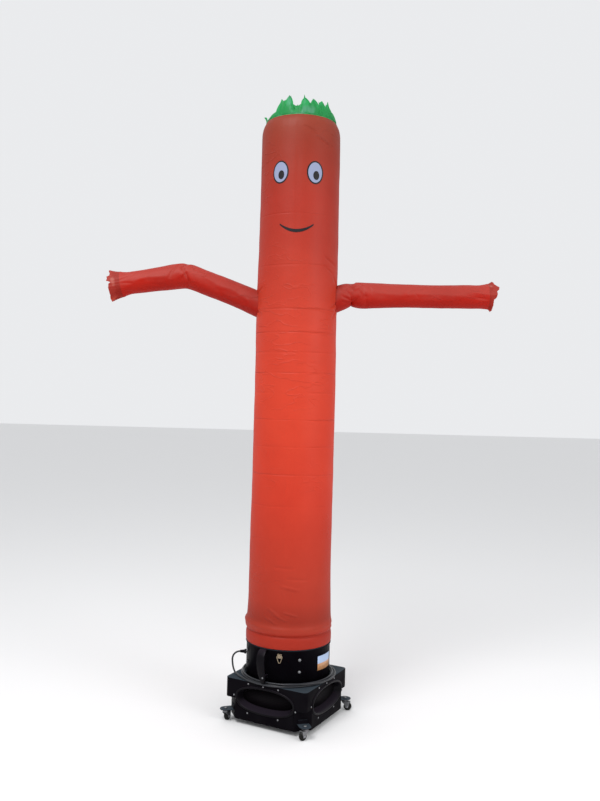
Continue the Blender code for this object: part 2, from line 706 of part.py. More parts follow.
def make_plug(rubber):
    """A moulded mains plug lying on the box's top, behind the collar, with two flat pins."""
    length, width, height = PLUG_SIZE
    matrix = (Matrix.Translation(polar(PLUG_R, PLUG_AZIMUTH, BOX_HEIGHT + GAP + height / 2))
              @ Matrix.Rotation(PLUG_AZIMUTH + PLUG_TURN, 4, "Z"))
    bm = bmesh.new()
    rings = []
    for x, wide, high in ((-length / 2, 0.42, 0.55), (-length * 0.1, 0.95, 1.0), (length / 2, 1.0, 1.0)):
        rings.append([matrix @ Vector((x, y * wide, -height / 2 + (z + height / 2) * high))
                      for y, z in ((-width / 2, -height / 2), (width / 2, -height / 2),
                                   (width / 2, height * 0.25), (width * 0.3, height / 2),
                                   (-width * 0.3, height / 2), (-width / 2, height * 0.25))])
    loft(bm, rings)
    body = make_object("plug", bm, rubber)
    pins = bmesh.new()
    for side in (-0.5, 0.5):
        place = matrix @ Matrix.Translation((length / 2 + PIN_SIZE[0] * 0.45, side * PIN_APART, 0.0))
        bmesh.ops.create_cube(pins, size=1.0, matrix=place @ Matrix.Diagonal((*PIN_SIZE, 1.0)))
    return boolean(body, cutter(make_object("plug_pins", pins, None)), "UNION")


# Casters


def make_bracket(name, black, corner):
    """Ear plate and upstand of one caster. Local +X points away from the box's axis."""
    low, high = PLATE_TOP - PLATE_THICK, PLATE_TOP
    near = NOTCH_REACH + GAP
    arc = [(CASTER_REACH + PLATE_OUTER_R * math.cos(a), PLATE_OUTER_R * math.sin(a))
           for a in (math.radians(-90 + 18 * i) for i in range(11))]
    outline = [(near, -PLATE_OUTER_R), *arc, (near, PLATE_OUTER_R)]
    plate = prism(name, outline, low, high, black, corner)
    back = [(near, -UPSTAND_HALF), (near + PLATE_THICK, -UPSTAND_HALF), (near + PLATE_THICK, UPSTAND_HALF),
            (near, UPSTAND_HALF)]
    boolean(plate, cutter(prism(name + "_upstand", back, low + 0.001, UPSTAND_TOP, None, corner)), "UNION")
    hole = [(CASTER_REACH + x, y) for x, y in circle(12, KING_R + RUNNING_GAP)]
    return boolean(plate, cutter(prism(name + "_hole", hole, low - 0.01, high + 0.01, None, corner)),
                   "DIFFERENCE")


def make_fork(name, steel, swivel):
    """Swivelling fork: local origin on the king pin, wheel trailing along +X."""
    under = PLATE_TOP - PLATE_THICK - RUNNING_GAP
    over = PLATE_TOP + RUNNING_GAP
    outer = FORK_GAP + FORK_WALL
    bm = bmesh.new()
    # The folded steel: a hood and two cheeks, as one section drawn along the wheel's way
    sections = []
    for x, low in CHEEK_LINE:
        section = ((-outer, low), (-FORK_GAP, low), (-FORK_GAP, HOOD_Z), (FORK_GAP, HOOD_Z), (FORK_GAP, low),
                   (outer, low), (outer, HOOD_Z + 0.001), (outer - 0.002, HOOD_Z + 0.003),
                   (-outer + 0.002, HOOD_Z + 0.003), (-outer, HOOD_Z + 0.001))
        sections.append([(x, y, z) for y, z in section])
    fork = make_object(name, loft(bm, sections), steel, swivel)
    stack = bmesh.new()
    loft(stack, [[(x, y, z) for x, y in circle(12, radius)] for radius, z in (
        (0.008, HOOD_Z + 0.001), (DOME_R, HOOD_Z + 0.005), (DOME_R, under - 0.003), (DOME_R - 0.003, under),
        (KING_R, under + 0.0001), (KING_R, over), (KING_HEAD_R, over + 0.0001),
        (KING_HEAD_R, over + KING_HEAD * 0.6), (KING_HEAD_R * 0.6, over + KING_HEAD))])
    boolean(fork, cutter(make_object(name + "_stack", stack, None, swivel)), "UNION")
    hole = bmesh.new()
    loft(hole, [[(TRAIL + x, y, WHEEL_Z + z) for x, z in circle(10, AXLE_R + RUNNING_GAP)]
                for y in (-0.03, 0.03)])
    return boolean(fork, cutter(make_object(name + "_hole", hole, None, swivel)), "DIFFERENCE")


def make_axle(name, steel, wheel_place):
    reach = FORK_GAP + FORK_WALL + RUNNING_GAP
    profile = ((AXLE_HEAD_R * 0.7, -reach - AXLE_HEAD), (AXLE_HEAD_R, -reach - AXLE_HEAD * 0.5),
               (AXLE_HEAD_R, -reach), (AXLE_R, -reach + 0.0001), (AXLE_R, reach - 0.0001),
               (AXLE_HEAD_R, reach), (AXLE_HEAD_R, reach + AXLE_HEAD * 0.5),
               (AXLE_HEAD_R * 0.7, reach + AXLE_HEAD))
    bm = loft(bmesh.new(), [[(x, y, z) for x, z in circle(10, radius)] for radius, y in profile])
    return make_object(name, bm, steel, wheel_place)


def make_wheel(name, rubber, wheel_place):
    """A wheel with flats, one of them level at the bottom."""
    point = WHEEL_R / math.cos(math.pi / WHEEL_SIDES)
    start = -math.pi / 2 + math.pi / WHEEL_SIDES
    bore = AXLE_R + RUNNING_GAP
    rim = 0.0015
    profile = ((bore, -WHEEL_HALF - 0.001), (0.008, -WHEEL_HALF - 0.001), (0.012, -WHEEL_HALF + rim),
               (point - 0.002, -WHEEL_HALF), (point, -WHEEL_HALF + 2 * rim), (point, WHEEL_HALF - 2 * rim),
               (point - 0.002, WHEEL_HALF), (0.012, WHEEL_HALF - rim), (0.008, WHEEL_HALF + 0.001),
               (bore, WHEEL_HALF + 0.001))
    rings = [[(x, y, z) for x, z in circle(WHEEL_SIDES, radius, start)] for radius, y in profile]
    return make_object(name, loft(bmesh.new(), rings, closed=True), rubber, wheel_place)


def make_casters(black, steel, rubber, base):
    for index, (place, trails) in enumerate(CASTERS):
        azimuth = math.radians(-45.0 + 90.0 * index)
        corner = empty(f"{place}_corner", yaw=azimuth, parent=base)
        make_bracket(f"caster_bracket_{place}", black, corner)
        world = azimuth + HOUSING_YAW
        swivel = empty(f"{place}_swivel", polar(CASTER_REACH, world, 0.0), math.radians(trails))
        make_fork(f"caster_fork_{place}", steel, swivel)
        axle_place = empty(f"{place}_axle_line", (TRAIL, 0.0, WHEEL_Z), parent=swivel)
        make_axle(f"caster_axle_{place}", steel, axle_place)
        make_wheel(f"caster_wheel_{place}", rubber, axle_place)


def main():
    clear_scene()
    cloth = material("red_nylon", (0.62, 0.055, 0.028), 0.55)
    green = material("green_nylon", (0.02, 0.38, 0.10), 0.50)
    black = material("black_moulding", (0.012, 0.012, 0.014), 0.45)
    dark = material("dark_mesh", (0.006, 0.006, 0.007), 0.80)
    steel = material("plated_steel", (0.55, 0.55, 0.56), 0.35, 1.0)
    rubber = material("black_rubber", (0.015, 0.015, 0.016), 0.60)
    paper = material("label_film", (0.45, 0.50, 0.60), 0.40)

    make_figure(cloth, green)
    base = empty("box_axes", yaw=HOUSING_YAW)
    make_housing(black, base)
    for index in range(4):
        make_inlet(index, black, dark, base)
    make_collar(black)
    make_bolts(steel)
    make_handle(black)
    make_eye(steel)
    make_label(paper)
    make_gland(black)
    make_lead_run("cord_loop", LOOP_ROUTE, 34, rubber)
    make_coil(rubber)
    make_lead_run("cord_tail", TAIL_ROUTE, 12, rubber)
    make_plug(rubber)
    make_casters(black, steel, rubber, base)


main()
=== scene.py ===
"""Looks of the inflatable air dancer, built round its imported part.

Metres, +Z up, in the part's frame: the origin is under the blower's base plate, and the figure faces -Y.
"""

import math

import bmesh
import bpy
import numpy as np
from mathutils import Matrix, Vector, noise


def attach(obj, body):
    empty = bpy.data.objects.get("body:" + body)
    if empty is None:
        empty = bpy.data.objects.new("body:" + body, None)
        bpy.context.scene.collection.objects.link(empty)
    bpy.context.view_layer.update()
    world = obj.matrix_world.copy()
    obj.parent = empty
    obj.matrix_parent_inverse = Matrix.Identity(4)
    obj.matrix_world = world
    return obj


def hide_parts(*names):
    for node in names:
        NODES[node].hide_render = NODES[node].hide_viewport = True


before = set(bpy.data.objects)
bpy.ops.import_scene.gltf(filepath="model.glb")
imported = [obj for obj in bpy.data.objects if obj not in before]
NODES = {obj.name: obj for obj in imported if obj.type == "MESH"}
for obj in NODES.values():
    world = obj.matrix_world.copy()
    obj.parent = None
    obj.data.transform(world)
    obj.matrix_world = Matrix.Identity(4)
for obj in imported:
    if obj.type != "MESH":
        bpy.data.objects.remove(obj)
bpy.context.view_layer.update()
ROOT = "blower"

FLOOR_Z = -0.023
TOP_DOWN = math.pi / 2

# Sleeve: height and radius from the hem to the top rim
TUBE_PROFILE = (
    (0.3475, 0.2032), (0.3600, 0.2048), (0.3840, 0.2046), (0.3970, 0.2020), (0.4030, 0.2003),
    (0.4080, 0.2026), (0.4150, 0.2070), (0.4250, 0.2088), (0.4380, 0.2078), (0.4540, 0.2032),
    (0.4920, 0.2002), (0.5920, 0.1972), (0.7720, 0.1958), (0.9920, 0.1952), (1.2120, 0.1946),
    (1.4320, 0.1942), (1.6520, 0.1938), (1.8120, 0.1936), (1.8820, 0.1934), (2.0520, 0.1926),
    (2.1720, 0.1915), (2.3120, 0.1904), (2.4720, 0.1890), (2.6320, 0.1885), (2.7320, 0.1883),
    (2.7640, 0.1868), (2.7870, 0.1820), (2.8020, 0.1752), (2.8120, 0.1690),
)
# The roll over the hem is highest and fullest at this azimuth, with a groove under it
ROLL_AZIMUTH = math.radians(190.0)
ROLL_MIDDLE = 0.426
ROLL_RISE = 0.020
ROLL_FULL = 0.0060
ROLL_SLACK = 0.0040
GROOVE_MIDDLE = 0.4030
GROOVE_DEPTH = 0.0026
HEM_MIDDLE = 0.372
TOP_GATHER = 2.806
# How far each visible skin lies inside the solid's outer face
SKIN_INSET = 0.0004
TUBE_BULGES = ((3, 0.0011, 0.9), (5, 0.0007, -1.7))
FRONT_SIDES = 92
BACK_SIDES = 40
SLEEVE_ROWS = 690
# Where the rows lie closer together: middle height and half width
DENSE_ROWS = ((0.40, 0.10), (2.80, 0.05))
DENSER = 3.5

# Level fold lines left from packing, from the lowest: height and depth
FOLD_LINES = (
    (0.846, 0.45), (0.997, 0.60), (1.143, 0.85), (1.274, 0.70), (1.399, 1.00), (1.523, 0.65), (1.614, 0.90),
    (1.710, 0.90), (1.806, 1.00), (1.913, 1.00), (2.115, 0.60), (2.352, 0.50),
)
CREASE_DEEPER = 2.2
FOLD_HALF = 0.0045
FOLD_WAVER = 0.022
FOLD_MARGIN = 0.2
# Short creases: azimuth and height at both ends, depth, half width. A ridge has a negative depth.
SHORT_CREASES = (
    (-101, 0.634, -79, 0.618, -0.0022, 0.0050), (-97, 0.516, -80, 0.500, -0.0020, 0.0040),
    (-119, 0.530, -104, 0.500, -0.0024, 0.0050), (-111, 0.506, -95, 0.480, -0.0022, 0.0045),
    (-124, 0.492, -107, 0.462, -0.0020, 0.0045), (-93, 0.668, -66, 0.664, 0.0014, 0.0050),
    (-112, 0.719, -86, 0.716, 0.0014, 0.0050), (-66, 2.712, -40, 2.676, 0.0026, 0.0050),
    (-84, 2.752, -66, 2.724, 0.0018, 0.0045), (-48, 2.158, -24, 2.128, 0.0024, 0.0050),
    (-52, 2.118, -30, 2.086, 0.0016, 0.0045), (-30, 1.880, -4, 1.952, 0.0024, 0.0060),
    (-34, 1.930, -8, 1.966, 0.0020, 0.0050), (-28, 2.070, -6, 2.020, 0.0022, 0.0060),
    (-152, 1.885, -174, 1.925, 0.0024, 0.0060), (-148, 2.015, -172, 1.985, 0.0020, 0.0050),
    (30, 1.885, 8, 1.945, 0.0022, 0.0060), (150, 1.880, 172, 1.920, 0.0022, 0.0060),
    (36, 2.040, 10, 2.010, 0.0020, 0.0055), (148, 2.010, 170, 1.985, 0.0020, 0.0050),
    (60, 0.640, 92, 0.622, -0.0022, 0.0050), (110, 0.520, 140, 0.500, -0.0020, 0.0045),
    (20, 0.560, 44, 0.536, -0.0018, 0.0045), (70, 2.700, 100, 2.672, 0.0024, 0.0050),
)
# Painted light and shade by height, multiplied into the sleeve's tint: painted shade makes it darker and
# browner at the head and darker near the floor, and a painted highlight runs along the roll over the hem
SLEEVE_PAINTED_LIGHT = (
    (0.340, (0.67, 0.48, 0.34)), (0.405, (0.64, 0.48, 0.36)), (0.430, (0.64, 0.74, 0.64)),
    (0.470, (0.50, 0.48, 0.36)), (0.560, (0.66, 0.68, 0.55)), (0.620, (0.68, 0.71, 0.58)),
    (1.030, (0.86, 0.80, 0.60)), (1.490, (0.92, 1.00, 0.75)), (1.810, (0.86, 0.97, 0.84)),
    (2.200, (0.63, 0.65, 0.60)), (2.430, (0.56, 0.54, 0.50)), (2.680, (0.43, 0.59, 0.51)),
    (2.820, (0.37, 0.80, 0.78)),
)
# Lengthwise seams of the sleeve: azimuth and highest height
SEAMS = ((-92.5, 2.815), (87.5, 2.815))
SEAM_RIDGE = (0.0010, 0.0028)
SEAM_PUCKER = (0.0022, 0.0110)
# The sleeve's mean radius, which turns an angle into a length on the cloth
SLEEVE_R = 0.19
# Where the bulges begin and end, and where the seams part from the roll
BULGES_FROM = 0.49
BULGES_TO = 2.73
SEAMS_FROM = 0.46

# Printed face: each eye's azimuth, and its ovals as turn, rise, half sizes, how proud, material
EYES = (("left", -118.6), ("right", -68.2))
EYE_Z = 2.541
EYE_OVALS = (
    (0.0, 0.0, (0.0410, 0.0530), 0.0008, 0), (0.0, 0.0, (0.0345, 0.0465), 0.0013, 1),
    (1.5, -0.013, (0.0150, 0.0205), 0.0018, 0),
)
OVAL_RINGS = 10
OVAL_SIDES = 56
FACE_R = 0.189
# The smile: azimuth and height of its middle, then half width, rise of its ends and half thickness
SMILE_PLACE = (-93.4, 2.268)
SMILE_HALF = (0.080, 0.032, 0.0075)
SMILE_ROWS = 41
SMILE_PROUD = 0.0009

# The arms' mean radius, and the seam along their undersides: angle, height and half width
ARM_R = 0.055
ARM_SEAM = 186
ARM_SEAM_RIDGE = (0.0009, 0.002)
# Arms: x, z and radius along the middle line, from inside the body to the cuff
LEFT_ARM = (
    (-0.150, 1.932, 0.0620), (-0.235, 1.969, 0.0595), (-0.300, 1.994, 0.0580), (-0.365, 2.018, 0.0575),
    (-0.425, 2.039, 0.0580), (-0.470, 2.056, 0.0580), (-0.505, 2.0685, 0.0590), (-0.530, 2.0745, 0.0600),
    (-0.556, 2.0745, 0.0605), (-0.590, 2.0700, 0.0600), (-0.640, 2.0610, 0.0585), (-0.700, 2.0515, 0.0560),
    (-0.760, 2.0420, 0.0545), (-0.815, 2.0330, 0.0540), (-0.846, 2.0275, 0.0560),
)
RIGHT_ARM = (
    (0.140, 1.962, 0.0620), (0.212, 1.992, 0.0600), (0.238, 2.003, 0.0570), (0.256, 2.0070, 0.0545),
    (0.276, 2.0055, 0.0600), (0.312, 2.0025, 0.0630), (0.360, 2.0030, 0.0615), (0.420, 2.0045, 0.0590),
    (0.500, 2.0055, 0.0565), (0.600, 2.0060, 0.0555), (0.700, 2.0070, 0.0555), (0.800, 2.0090, 0.0560),
    (0.870, 2.0105, 0.0565), (0.915, 2.0120, 0.0580),
)
ARM_SIDES = 84
ARM_ROWS = 300
# Creases of the arms: way round (0 top, 90 front, 180 under) and x at both ends, depth, half width
LEFT_ARM_CREASES = (
    (0, -0.533, 60, -0.548, 0.0080, 0.0080), (60, -0.548, 120, -0.512, 0.0070, 0.0070),
    (120, -0.512, 170, -0.500, 0.0050, 0.0080), (20, -0.548, 55, -0.585, 0.0050, 0.0060),
    (55, -0.585, 95, -0.610, 0.0040, 0.0070), (15, -0.520, 50, -0.500, 0.0040, 0.0060),
    (75, -0.535, 100, -0.556, -0.0050, 0.0060), (100, -0.560, 175, -0.590, 0.0030, 0.0070),
    (90, -0.620, 84, -0.700, -0.0030, 0.0090), (80, -0.700, 92, -0.790, -0.0022, 0.0080),
    (84, -0.300, 96, -0.230, -0.0030, 0.0090), (96, -0.230, 130, -0.205, -0.0030, 0.0080),
    (60, -0.480, 88, -0.380, -0.0024, 0.0090), (88, -0.380, 78, -0.300, -0.0024, 0.0090),
    (140, -0.350, 150, -0.290, 0.0022, 0.0060), (130, -0.640, 120, -0.700, 0.0020, 0.0060),
    (55, -0.780, 80, -0.846, 0.0030, 0.0050), (100, -0.790, 92, -0.846, 0.0030, 0.0050),
    (20, -0.800, 34, -0.846, 0.0030, 0.0050), (150, -0.800, 140, -0.846, 0.0026, 0.0050),
    (300, -0.533, 250, -0.550, 0.0070, 0.0080), (250, -0.550, 200, -0.512, 0.0060, 0.0080),
    (340, -0.560, 290, -0.600, 0.0040, 0.0070), (270, -0.640, 262, -0.760, -0.0026, 0.0090),
    (275, -0.250, 268, -0.420, -0.0028, 0.0090), (300, -0.780, 280, -0.846, 0.0028, 0.0050),
    (240, -0.790, 250, -0.846, 0.0028, 0.0050), (320, -0.240, 280, -0.290, 0.0030, 0.0070),
    (0, -0.834, 0, -0.856, -0.0060, 0.0170), (180, -0.834, 180, -0.856, -0.0060, 0.0170),
)
RIGHT_ARM_CREASES = (
    (0, 0.262, 50, 0.252, 0.0080, 0.0080), (50, 0.252, 74, 0.262, 0.0060, 0.0060),
    (74, 0.262, 60, 0.292, -0.0060, 0.0070), (60, 0.292, 90, 0.320, -0.0050, 0.0080),
    (90, 0.320, 120, 0.316, 0.0040, 0.0080), (150, 0.262, 110, 0.290, 0.0060, 0.0080),
    (180, 0.258, 150, 0.262, 0.0070, 0.0090), (40, 0.300, 100, 0.326, 0.0040, 0.0070),
    (100, 0.326, 150, 0.330, 0.0030, 0.0070), (45, 0.340, 84, 0.356, 0.0030, 0.0060),
    (70, 0.232, 100, 0.250, 0.0040, 0.0060), (95, 0.214, 125, 0.240, 0.0040, 0.0060),
    (118, 0.206, 145, 0.236, 0.0036, 0.0060), (40, 0.215, 70, 0.236, 0.0034, 0.0060),
    (84, 0.380, 94, 0.500, -0.0024, 0.0090), (92, 0.520, 84, 0.660, -0.0022, 0.0090),
    (86, 0.680, 96, 0.800, -0.0020, 0.0090), (80, 0.560, 100, 0.575, 0.0014, 0.0050),
    (75, 0.840, 88, 0.915, -0.0034, 0.0060), (100, 0.850, 112, 0.915, 0.0034, 0.0060),
    (40, 0.860, 56, 0.915, 0.0034, 0.0055), (130, 0.870, 124, 0.915, 0.0030, 0.0050),
    (300, 0.262, 250, 0.252, 0.0080, 0.0080), (250, 0.252, 200, 0.262, 0.0060, 0.0080),
    (330, 0.300, 270, 0.326, 0.0040, 0.0080), (268, 0.360, 276, 0.520, -0.0026, 0.0090),
    (276, 0.560, 268, 0.740, -0.0022, 0.0090), (310, 0.850, 296, 0.915, 0.0032, 0.0055),
    (245, 0.860, 256, 0.915, 0.0030, 0.0055), (290, 0.215, 262, 0.245, 0.0036, 0.0060),
    (0, 0.903, 0, 0.925, -0.0050, 0.0170), (180, 0.903, 180, 0.925, -0.0030, 0.0150),
)
# Torn edges of the cuffs: way round (0 top, 90 front, 180 under), length, outward lean
LEFT_CUFF = (
    (0, 0.048, 0.015), (16, 0.050, 0.012), (24, 0.046, 0.006), (42, 0.047, 0.003), (47, 0.060, 0.001),
    (60, 0.058, 0.000), (71, 0.063, 0.000), (76, 0.050, 0.000), (82, 0.044, 0.000), (87, 0.053, 0.000),
    (108, 0.057, 0.001), (124, 0.056, 0.003), (142, 0.056, 0.007), (160, 0.060, 0.011), (180, 0.058, 0.015),
    (196, 0.048, 0.009), (222, 0.036, 0.003), (236, 0.048, 0.000), (262, 0.042, 0.000), (285, 0.052, 0.000),
    (304, 0.038, 0.003), (330, 0.046, 0.009),
)
RIGHT_CUFF = (
    (0, 0.021, 0.010), (9, 0.026, 0.008), (22, 0.030, 0.003), (34, 0.038, 0.002), (44, 0.050, 0.001),
    (60, 0.047, 0.000), (70, 0.035, 0.000), (82, 0.038, 0.000), (100, 0.033, 0.000), (112, 0.021, 0.000),
    (135, 0.020, 0.003), (152, 0.018, 0.006), (166, 0.017, 0.012), (180, 0.011, 0.012), (192, 0.022, 0.006),
    (216, 0.034, 0.002), (240, 0.026, 0.000), (262, 0.040, 0.000), (292, 0.030, 0.001), (318, 0.042, 0.004),
    (344, 0.024, 0.012),
)
CUFF_SIDES = 168
CUFF_ROWS = 12
# Hair: length, outward lean and sideways lean of each lock, round from the right side over the back
HAIR_FORMS = (
    (0.030, -0.034, 0.000), (0.048, -0.024, 0.006), (0.070, -0.010, -0.006), (0.082, 0.002, 0.008),
    (0.060, 0.012, -0.010), (0.078, -0.008, 0.004), (0.088, -0.014, -0.008), (0.056, 0.016, 0.010),
    (0.074, 0.002, -0.004), (0.064, -0.012, 0.008), (0.046, -0.028, 0.000), (0.030, -0.036, 0.004),
    (0.025, 0.010, 0.000), (0.036, -0.034, 0.002), (0.048, -0.040, 0.006), (0.074, -0.010, 0.008),
    (0.084, 0.004, 0.012), (0.042, -0.012, 0.000), (0.080, 0.002, -0.012), (0.069, 0.006, -0.018),
    (0.068, -0.008, -0.014), (0.074, -0.014, -0.008), (0.046, -0.018, 0.000), (0.028, -0.030, 0.000),
)
BLUNT_LOCKS = (4, 9, 15, 20)
LOCK_WIDTH = 0.058
LOCK_CURL = 0.0036
POINTED_END = 0.12
BLUNT_END = 0.45
# The second round of locks: how much shorter, and how far inside the first
INNER_LOCKS = 0.84
INNER_STEP = 0.003

# Casings
HOUSING_YAW = math.radians(-28.0)
BOX_HALF = 0.215
INLET_Z = 0.1034
# Small screws round each inlet: along the side and up from the inlet's middle
SCREWS = ((-0.088, 0.0677), (-0.009, 0.0677), (0.070, 0.0677), (-0.165, 0.004), (0.161, -0.014),
          (-0.090, -0.0677), (0.072, -0.0677))
SCREW_R = 0.0042
SCREW_PROUD = 0.0022
HANDLE_AZIMUTH = math.radians(-121.6)
KNOB_TOP = (0.2409, 0.0165, 0.221)
# A screw's domed head: share of its radius, and share of its rise
DOME = ((1.0, 0.0), (1.0, 0.3), (0.86, 0.72), (0.55, 0.94), (0.2, 1.0))
# The label: the height where its two tones meet, and the tones
LABEL_MIDDLE = 0.270
LABEL_LOW = (0.50, 0.24, 0.10)
LABEL_HIGH = (0.34, 0.43, 0.60)
# Inlets: the rolled lip and the funnel behind it
INLET_LENGTH = 0.300
INLET_HEIGHT = 0.112
INLET_SIDES = 96
OVAL_POWER = 2.3
INLET_SECTION = (
    (0.00034, 0.2123), (0.00034, 0.2153), (-0.0070, 0.2153), (-0.0066, 0.2172), (-0.0049, 0.2185),
    (-0.0026, 0.2193), (-0.0007, 0.2193), (0.0015, 0.2184), (0.0030, 0.2163), (0.0045, 0.2130),
    (0.0070, 0.2083), (0.0116, 0.1976), (0.0170, 0.1853), (0.0145, 0.1853), (0.0045, 0.2073),
)

# Mains lead
LEAD_R = 0.00425
LEAD_POINTS = 620
TURN_STEP = 10.0
# Middle line: distance from the collar's axis, azimuth, height
LEAD_LOOP = (
    (0.2300, 180.0, 0.2770), (0.2440, 180.0, 0.2741), (0.2560, 180.0, 0.2661), (0.2640, 180.0, 0.2541),
    (0.2668, 180.0, 0.2400), (0.2657, 180.5, 0.2236), (0.2628, 182.0, 0.2088), (0.2584, 184.4, 0.1971),
    (0.2536, 187.5, 0.1896), (0.2492, 191.2, 0.1870), (0.2420, 200.0, 0.1869), (0.2355, 211.0, 0.1868),
    (0.2308, 222.0, 0.1868), (0.2285, 233.0, 0.1868), (0.2280, 244.0, 0.1868),
)
# Turns round the collar's foot, then the tail
LEAD_TURNS = (
    (0.2278, 254.0, 0.1870), (0.2240, 274.0, 0.1870), (0.2189, 296.0, 0.1870), (0.2187, 330.0, 0.1870),
    (0.2187, 600.0, 0.1870), (0.2180, 612.0, 0.1870), (0.2137, 634.0, 0.1870), (0.2092, 656.0, 0.1870),
    (0.2090, 690.0, 0.1870), (0.2090, 950.0, 0.1870), (0.2088, 968.0, 0.1905), (0.2088, 990.0, 0.1950),
    (0.2130, 1014.0, 0.1950), (0.2139, 1030.0, 0.1948), (0.2139, 1290.0, 0.1948), (0.2160, 1312.0, 0.1960),
    (0.2182, 1334.0, 0.1962), (0.2228, 1362.0, 0.1960), (0.2240, 1376.0, 0.1955), (0.2262, 1400.0, 0.1925),
    (0.2280, 1426.0, 0.1885), (0.2284, 1450.0, 0.1872), (0.2284, 1488.0, 0.1870),
)
LEAD_TAIL = (
    (0.2292, 1500.0, 0.1870), (0.2340, 1512.0, 0.1870), (0.2430, 1523.0, 0.1870), (0.2530, 1531.0, 0.1872),
    (0.2585, 1535.6, 0.1885),
)

# Lights: name, place, aim, size and power
LIGHTS = (
    ("key", (-1.6, -2.8, 5.2), (0.0, 0.0, 1.5), 2.6, 170.0),
    ("fill", (3.4, -2.6, 2.6), (0.0, 0.0, 1.4), 2.4, 66.0),
)

# Camera of the photograph
CAMERA_PLACE = (0.0262, -3.94, 1.477)
CAMERA_LENS = 36.76
CAMERA_SENSOR = 36.0
CAMERA_PITCH = math.radians(0.185)
CAMERA_ROLL = math.radians(1.486)


def smooth_points(points, count):
    """Even points on a Catmull-Rom curve through the given ones."""
    given = np.array(points, float)
    ends = np.vstack([2 * given[0] - given[1], given, 2 * given[-1] - given[-2]])
    fine = []
    for a, b, c, d in zip(ends, ends[1:], ends[2:], ends[3:]):
        for t in np.arange(12) / 12:
            fine.append(0.5 * (2 * b + (c - a) * t + (2 * a - 5 * b + 4 * c - d) * t * t
                               + (3 * b - a - 3 * c + d) * t ** 3))
    fine = np.array([*fine, given[-1]])
    along = np.concatenate([[0.0], np.cumsum(np.linalg.norm(np.diff(fine, axis=0), axis=1))])
    wanted = np.linspace(0.0, along[-1], count)
    return np.column_stack([np.interp(wanted, along, fine[:, k]) for k in range(fine.shape[1])])


def new_object(name, mesh, body=ROOT):
    obj = bpy.data.objects.new(name, mesh)
    bpy.context.scene.collection.objects.link(obj)
    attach(obj, body)
    return obj


def grid_object(name, points, mat, body=ROOT):
    """A smooth skin over rows of points that close round."""
    rows, sides = points.shape[:2]
    index = np.arange(rows * sides).reshape(rows, sides)
    turned = np.roll(index, -1, axis=1)
    faces = np.stack([index[:-1], turned[:-1], turned[1:], index[1:]], axis=-1).reshape(-1, 4)
    mesh = bpy.data.meshes.new(name)
    mesh.from_pydata(points.reshape(-1, 3).tolist(), [], faces.tolist())
    mesh.shade_smooth()
    mesh.materials.append(mat)
    return new_object(name, mesh, body)


def mesh_object(name, bm, mats, body=ROOT, sharp=40.0):
    mesh = bpy.data.meshes.new(name)
    bm.to_mesh(mesh)
    bm.free()
    mesh.shade_smooth()
    if sharp:
        mesh.set_sharp_from_angle(angle=math.radians(sharp))
    for mat in mats:
        mesh.materials.append(mat)
    return new_object(name, mesh, body)


def noise_field(points, scale, seed):
    """Smooth noise from -1 to 1 at each point."""
    shift = Vector((seed * 7.3, seed * 3.1, seed * 5.7))
    flat = points.reshape(-1, 3) * scale
    return np.array([noise.noise(Vector(p) + shift) for p in flat]).reshape(points.shape[:-1])


def bridge(bm, first, second, index=0):
    """Faces between two loops that close round."""
    for k in range(len(first)):
        j = (k + 1) % len(first)
        bm.faces.new((first[k], first[j], second[j], second[k])).material_index = index


def turned_from(angles, middle):
    """How far each angle lies from the middle one, from minus half a turn to half a turn."""
    return (angles - middle + math.pi) % math.tau - math.pi


def segment_fold(u, v, first, second, half_width):
    """How deep each (u, v) lies in a fold between two points: 1 in its middle, less at its ends."""
    a, b = np.array(first), np.array(second)
    way = b - a
    length = math.hypot(*way)
    t = ((u - a[0]) * way[0] + (v - a[1]) * way[1]) / length ** 2
    held = np.clip(t, 0.0, 1.0)
    off = np.hypot(u - a[0] - held * way[0], v - a[1] - held * way[1])
    return np.exp(-(off / half_width) ** 2) * (0.55 + 0.45 * np.sin(np.pi * held))


# Materials


def shader(name, colour, roughness, metallic=0.0, specular=0.5):
    mat = bpy.data.materials.new(name)
    mat.use_nodes = True
    node = mat.node_tree.nodes["Principled BSDF"]
    node.inputs["Base Color"].default_value = (*colour, 1.0)
    node.inputs["Roughness"].default_value = roughness
    node.inputs["Metallic"].default_value = metallic
    node.inputs["Specular IOR Level"].default_value = specular
    return mat, mat.node_tree, node


def add_bump(tree, node, height, strength, distance, over=None):
    """Shapes the shading by a height. It can be laid over another bump."""
    bump = tree.nodes.new("ShaderNodeBump")
    bump.inputs["Strength"].default_value = strength
    bump.inputs["Distance"].default_value = distance
    tree.links.new(height, bump.inputs["Height"])
    if over:
        tree.links.new(over.outputs["Normal"], bump.inputs["Normal"])
    tree.links.new(bump.outputs["Normal"], node.inputs["Normal"])
    return bump


def math_node(tree, operation, *values):
    node = tree.nodes.new("ShaderNodeMath")
    node.operation = operation
    for socket, value in zip(node.inputs, values):
        if isinstance(value, float):
            socket.default_value = value
        else:
            tree.links.new(value, socket)
    return node.outputs["Value"]


def mapped(tree, value, low, high, first=0.0, last=1.0):
    """The value's place between low and high, held between first and last."""
    reach = tree.nodes.new("ShaderNodeMapRange")
    for name, number in (("From Min", low), ("From Max", high), ("To Min", first), ("To Max", last)):
        reach.inputs[name].default_value = number
    tree.links.new(value, reach.inputs["Value"])
    return reach.outputs["Result"]


def mix_by(tree, factor, first, second):
    """A mix of two colours. Either may be a plain colour."""
    mix = tree.nodes.new("ShaderNodeMix")
    mix.data_type = "RGBA"
    tree.links.new(factor, mix.inputs["Factor"])
    for value, name in ((first, "A"), (second, "B")):
        if isinstance(value, tuple):
            mix.inputs[name].default_value = (*value, 1.0)
        else:
            tree.links.new(value, mix.inputs[name])
    return mix.outputs["Result"]


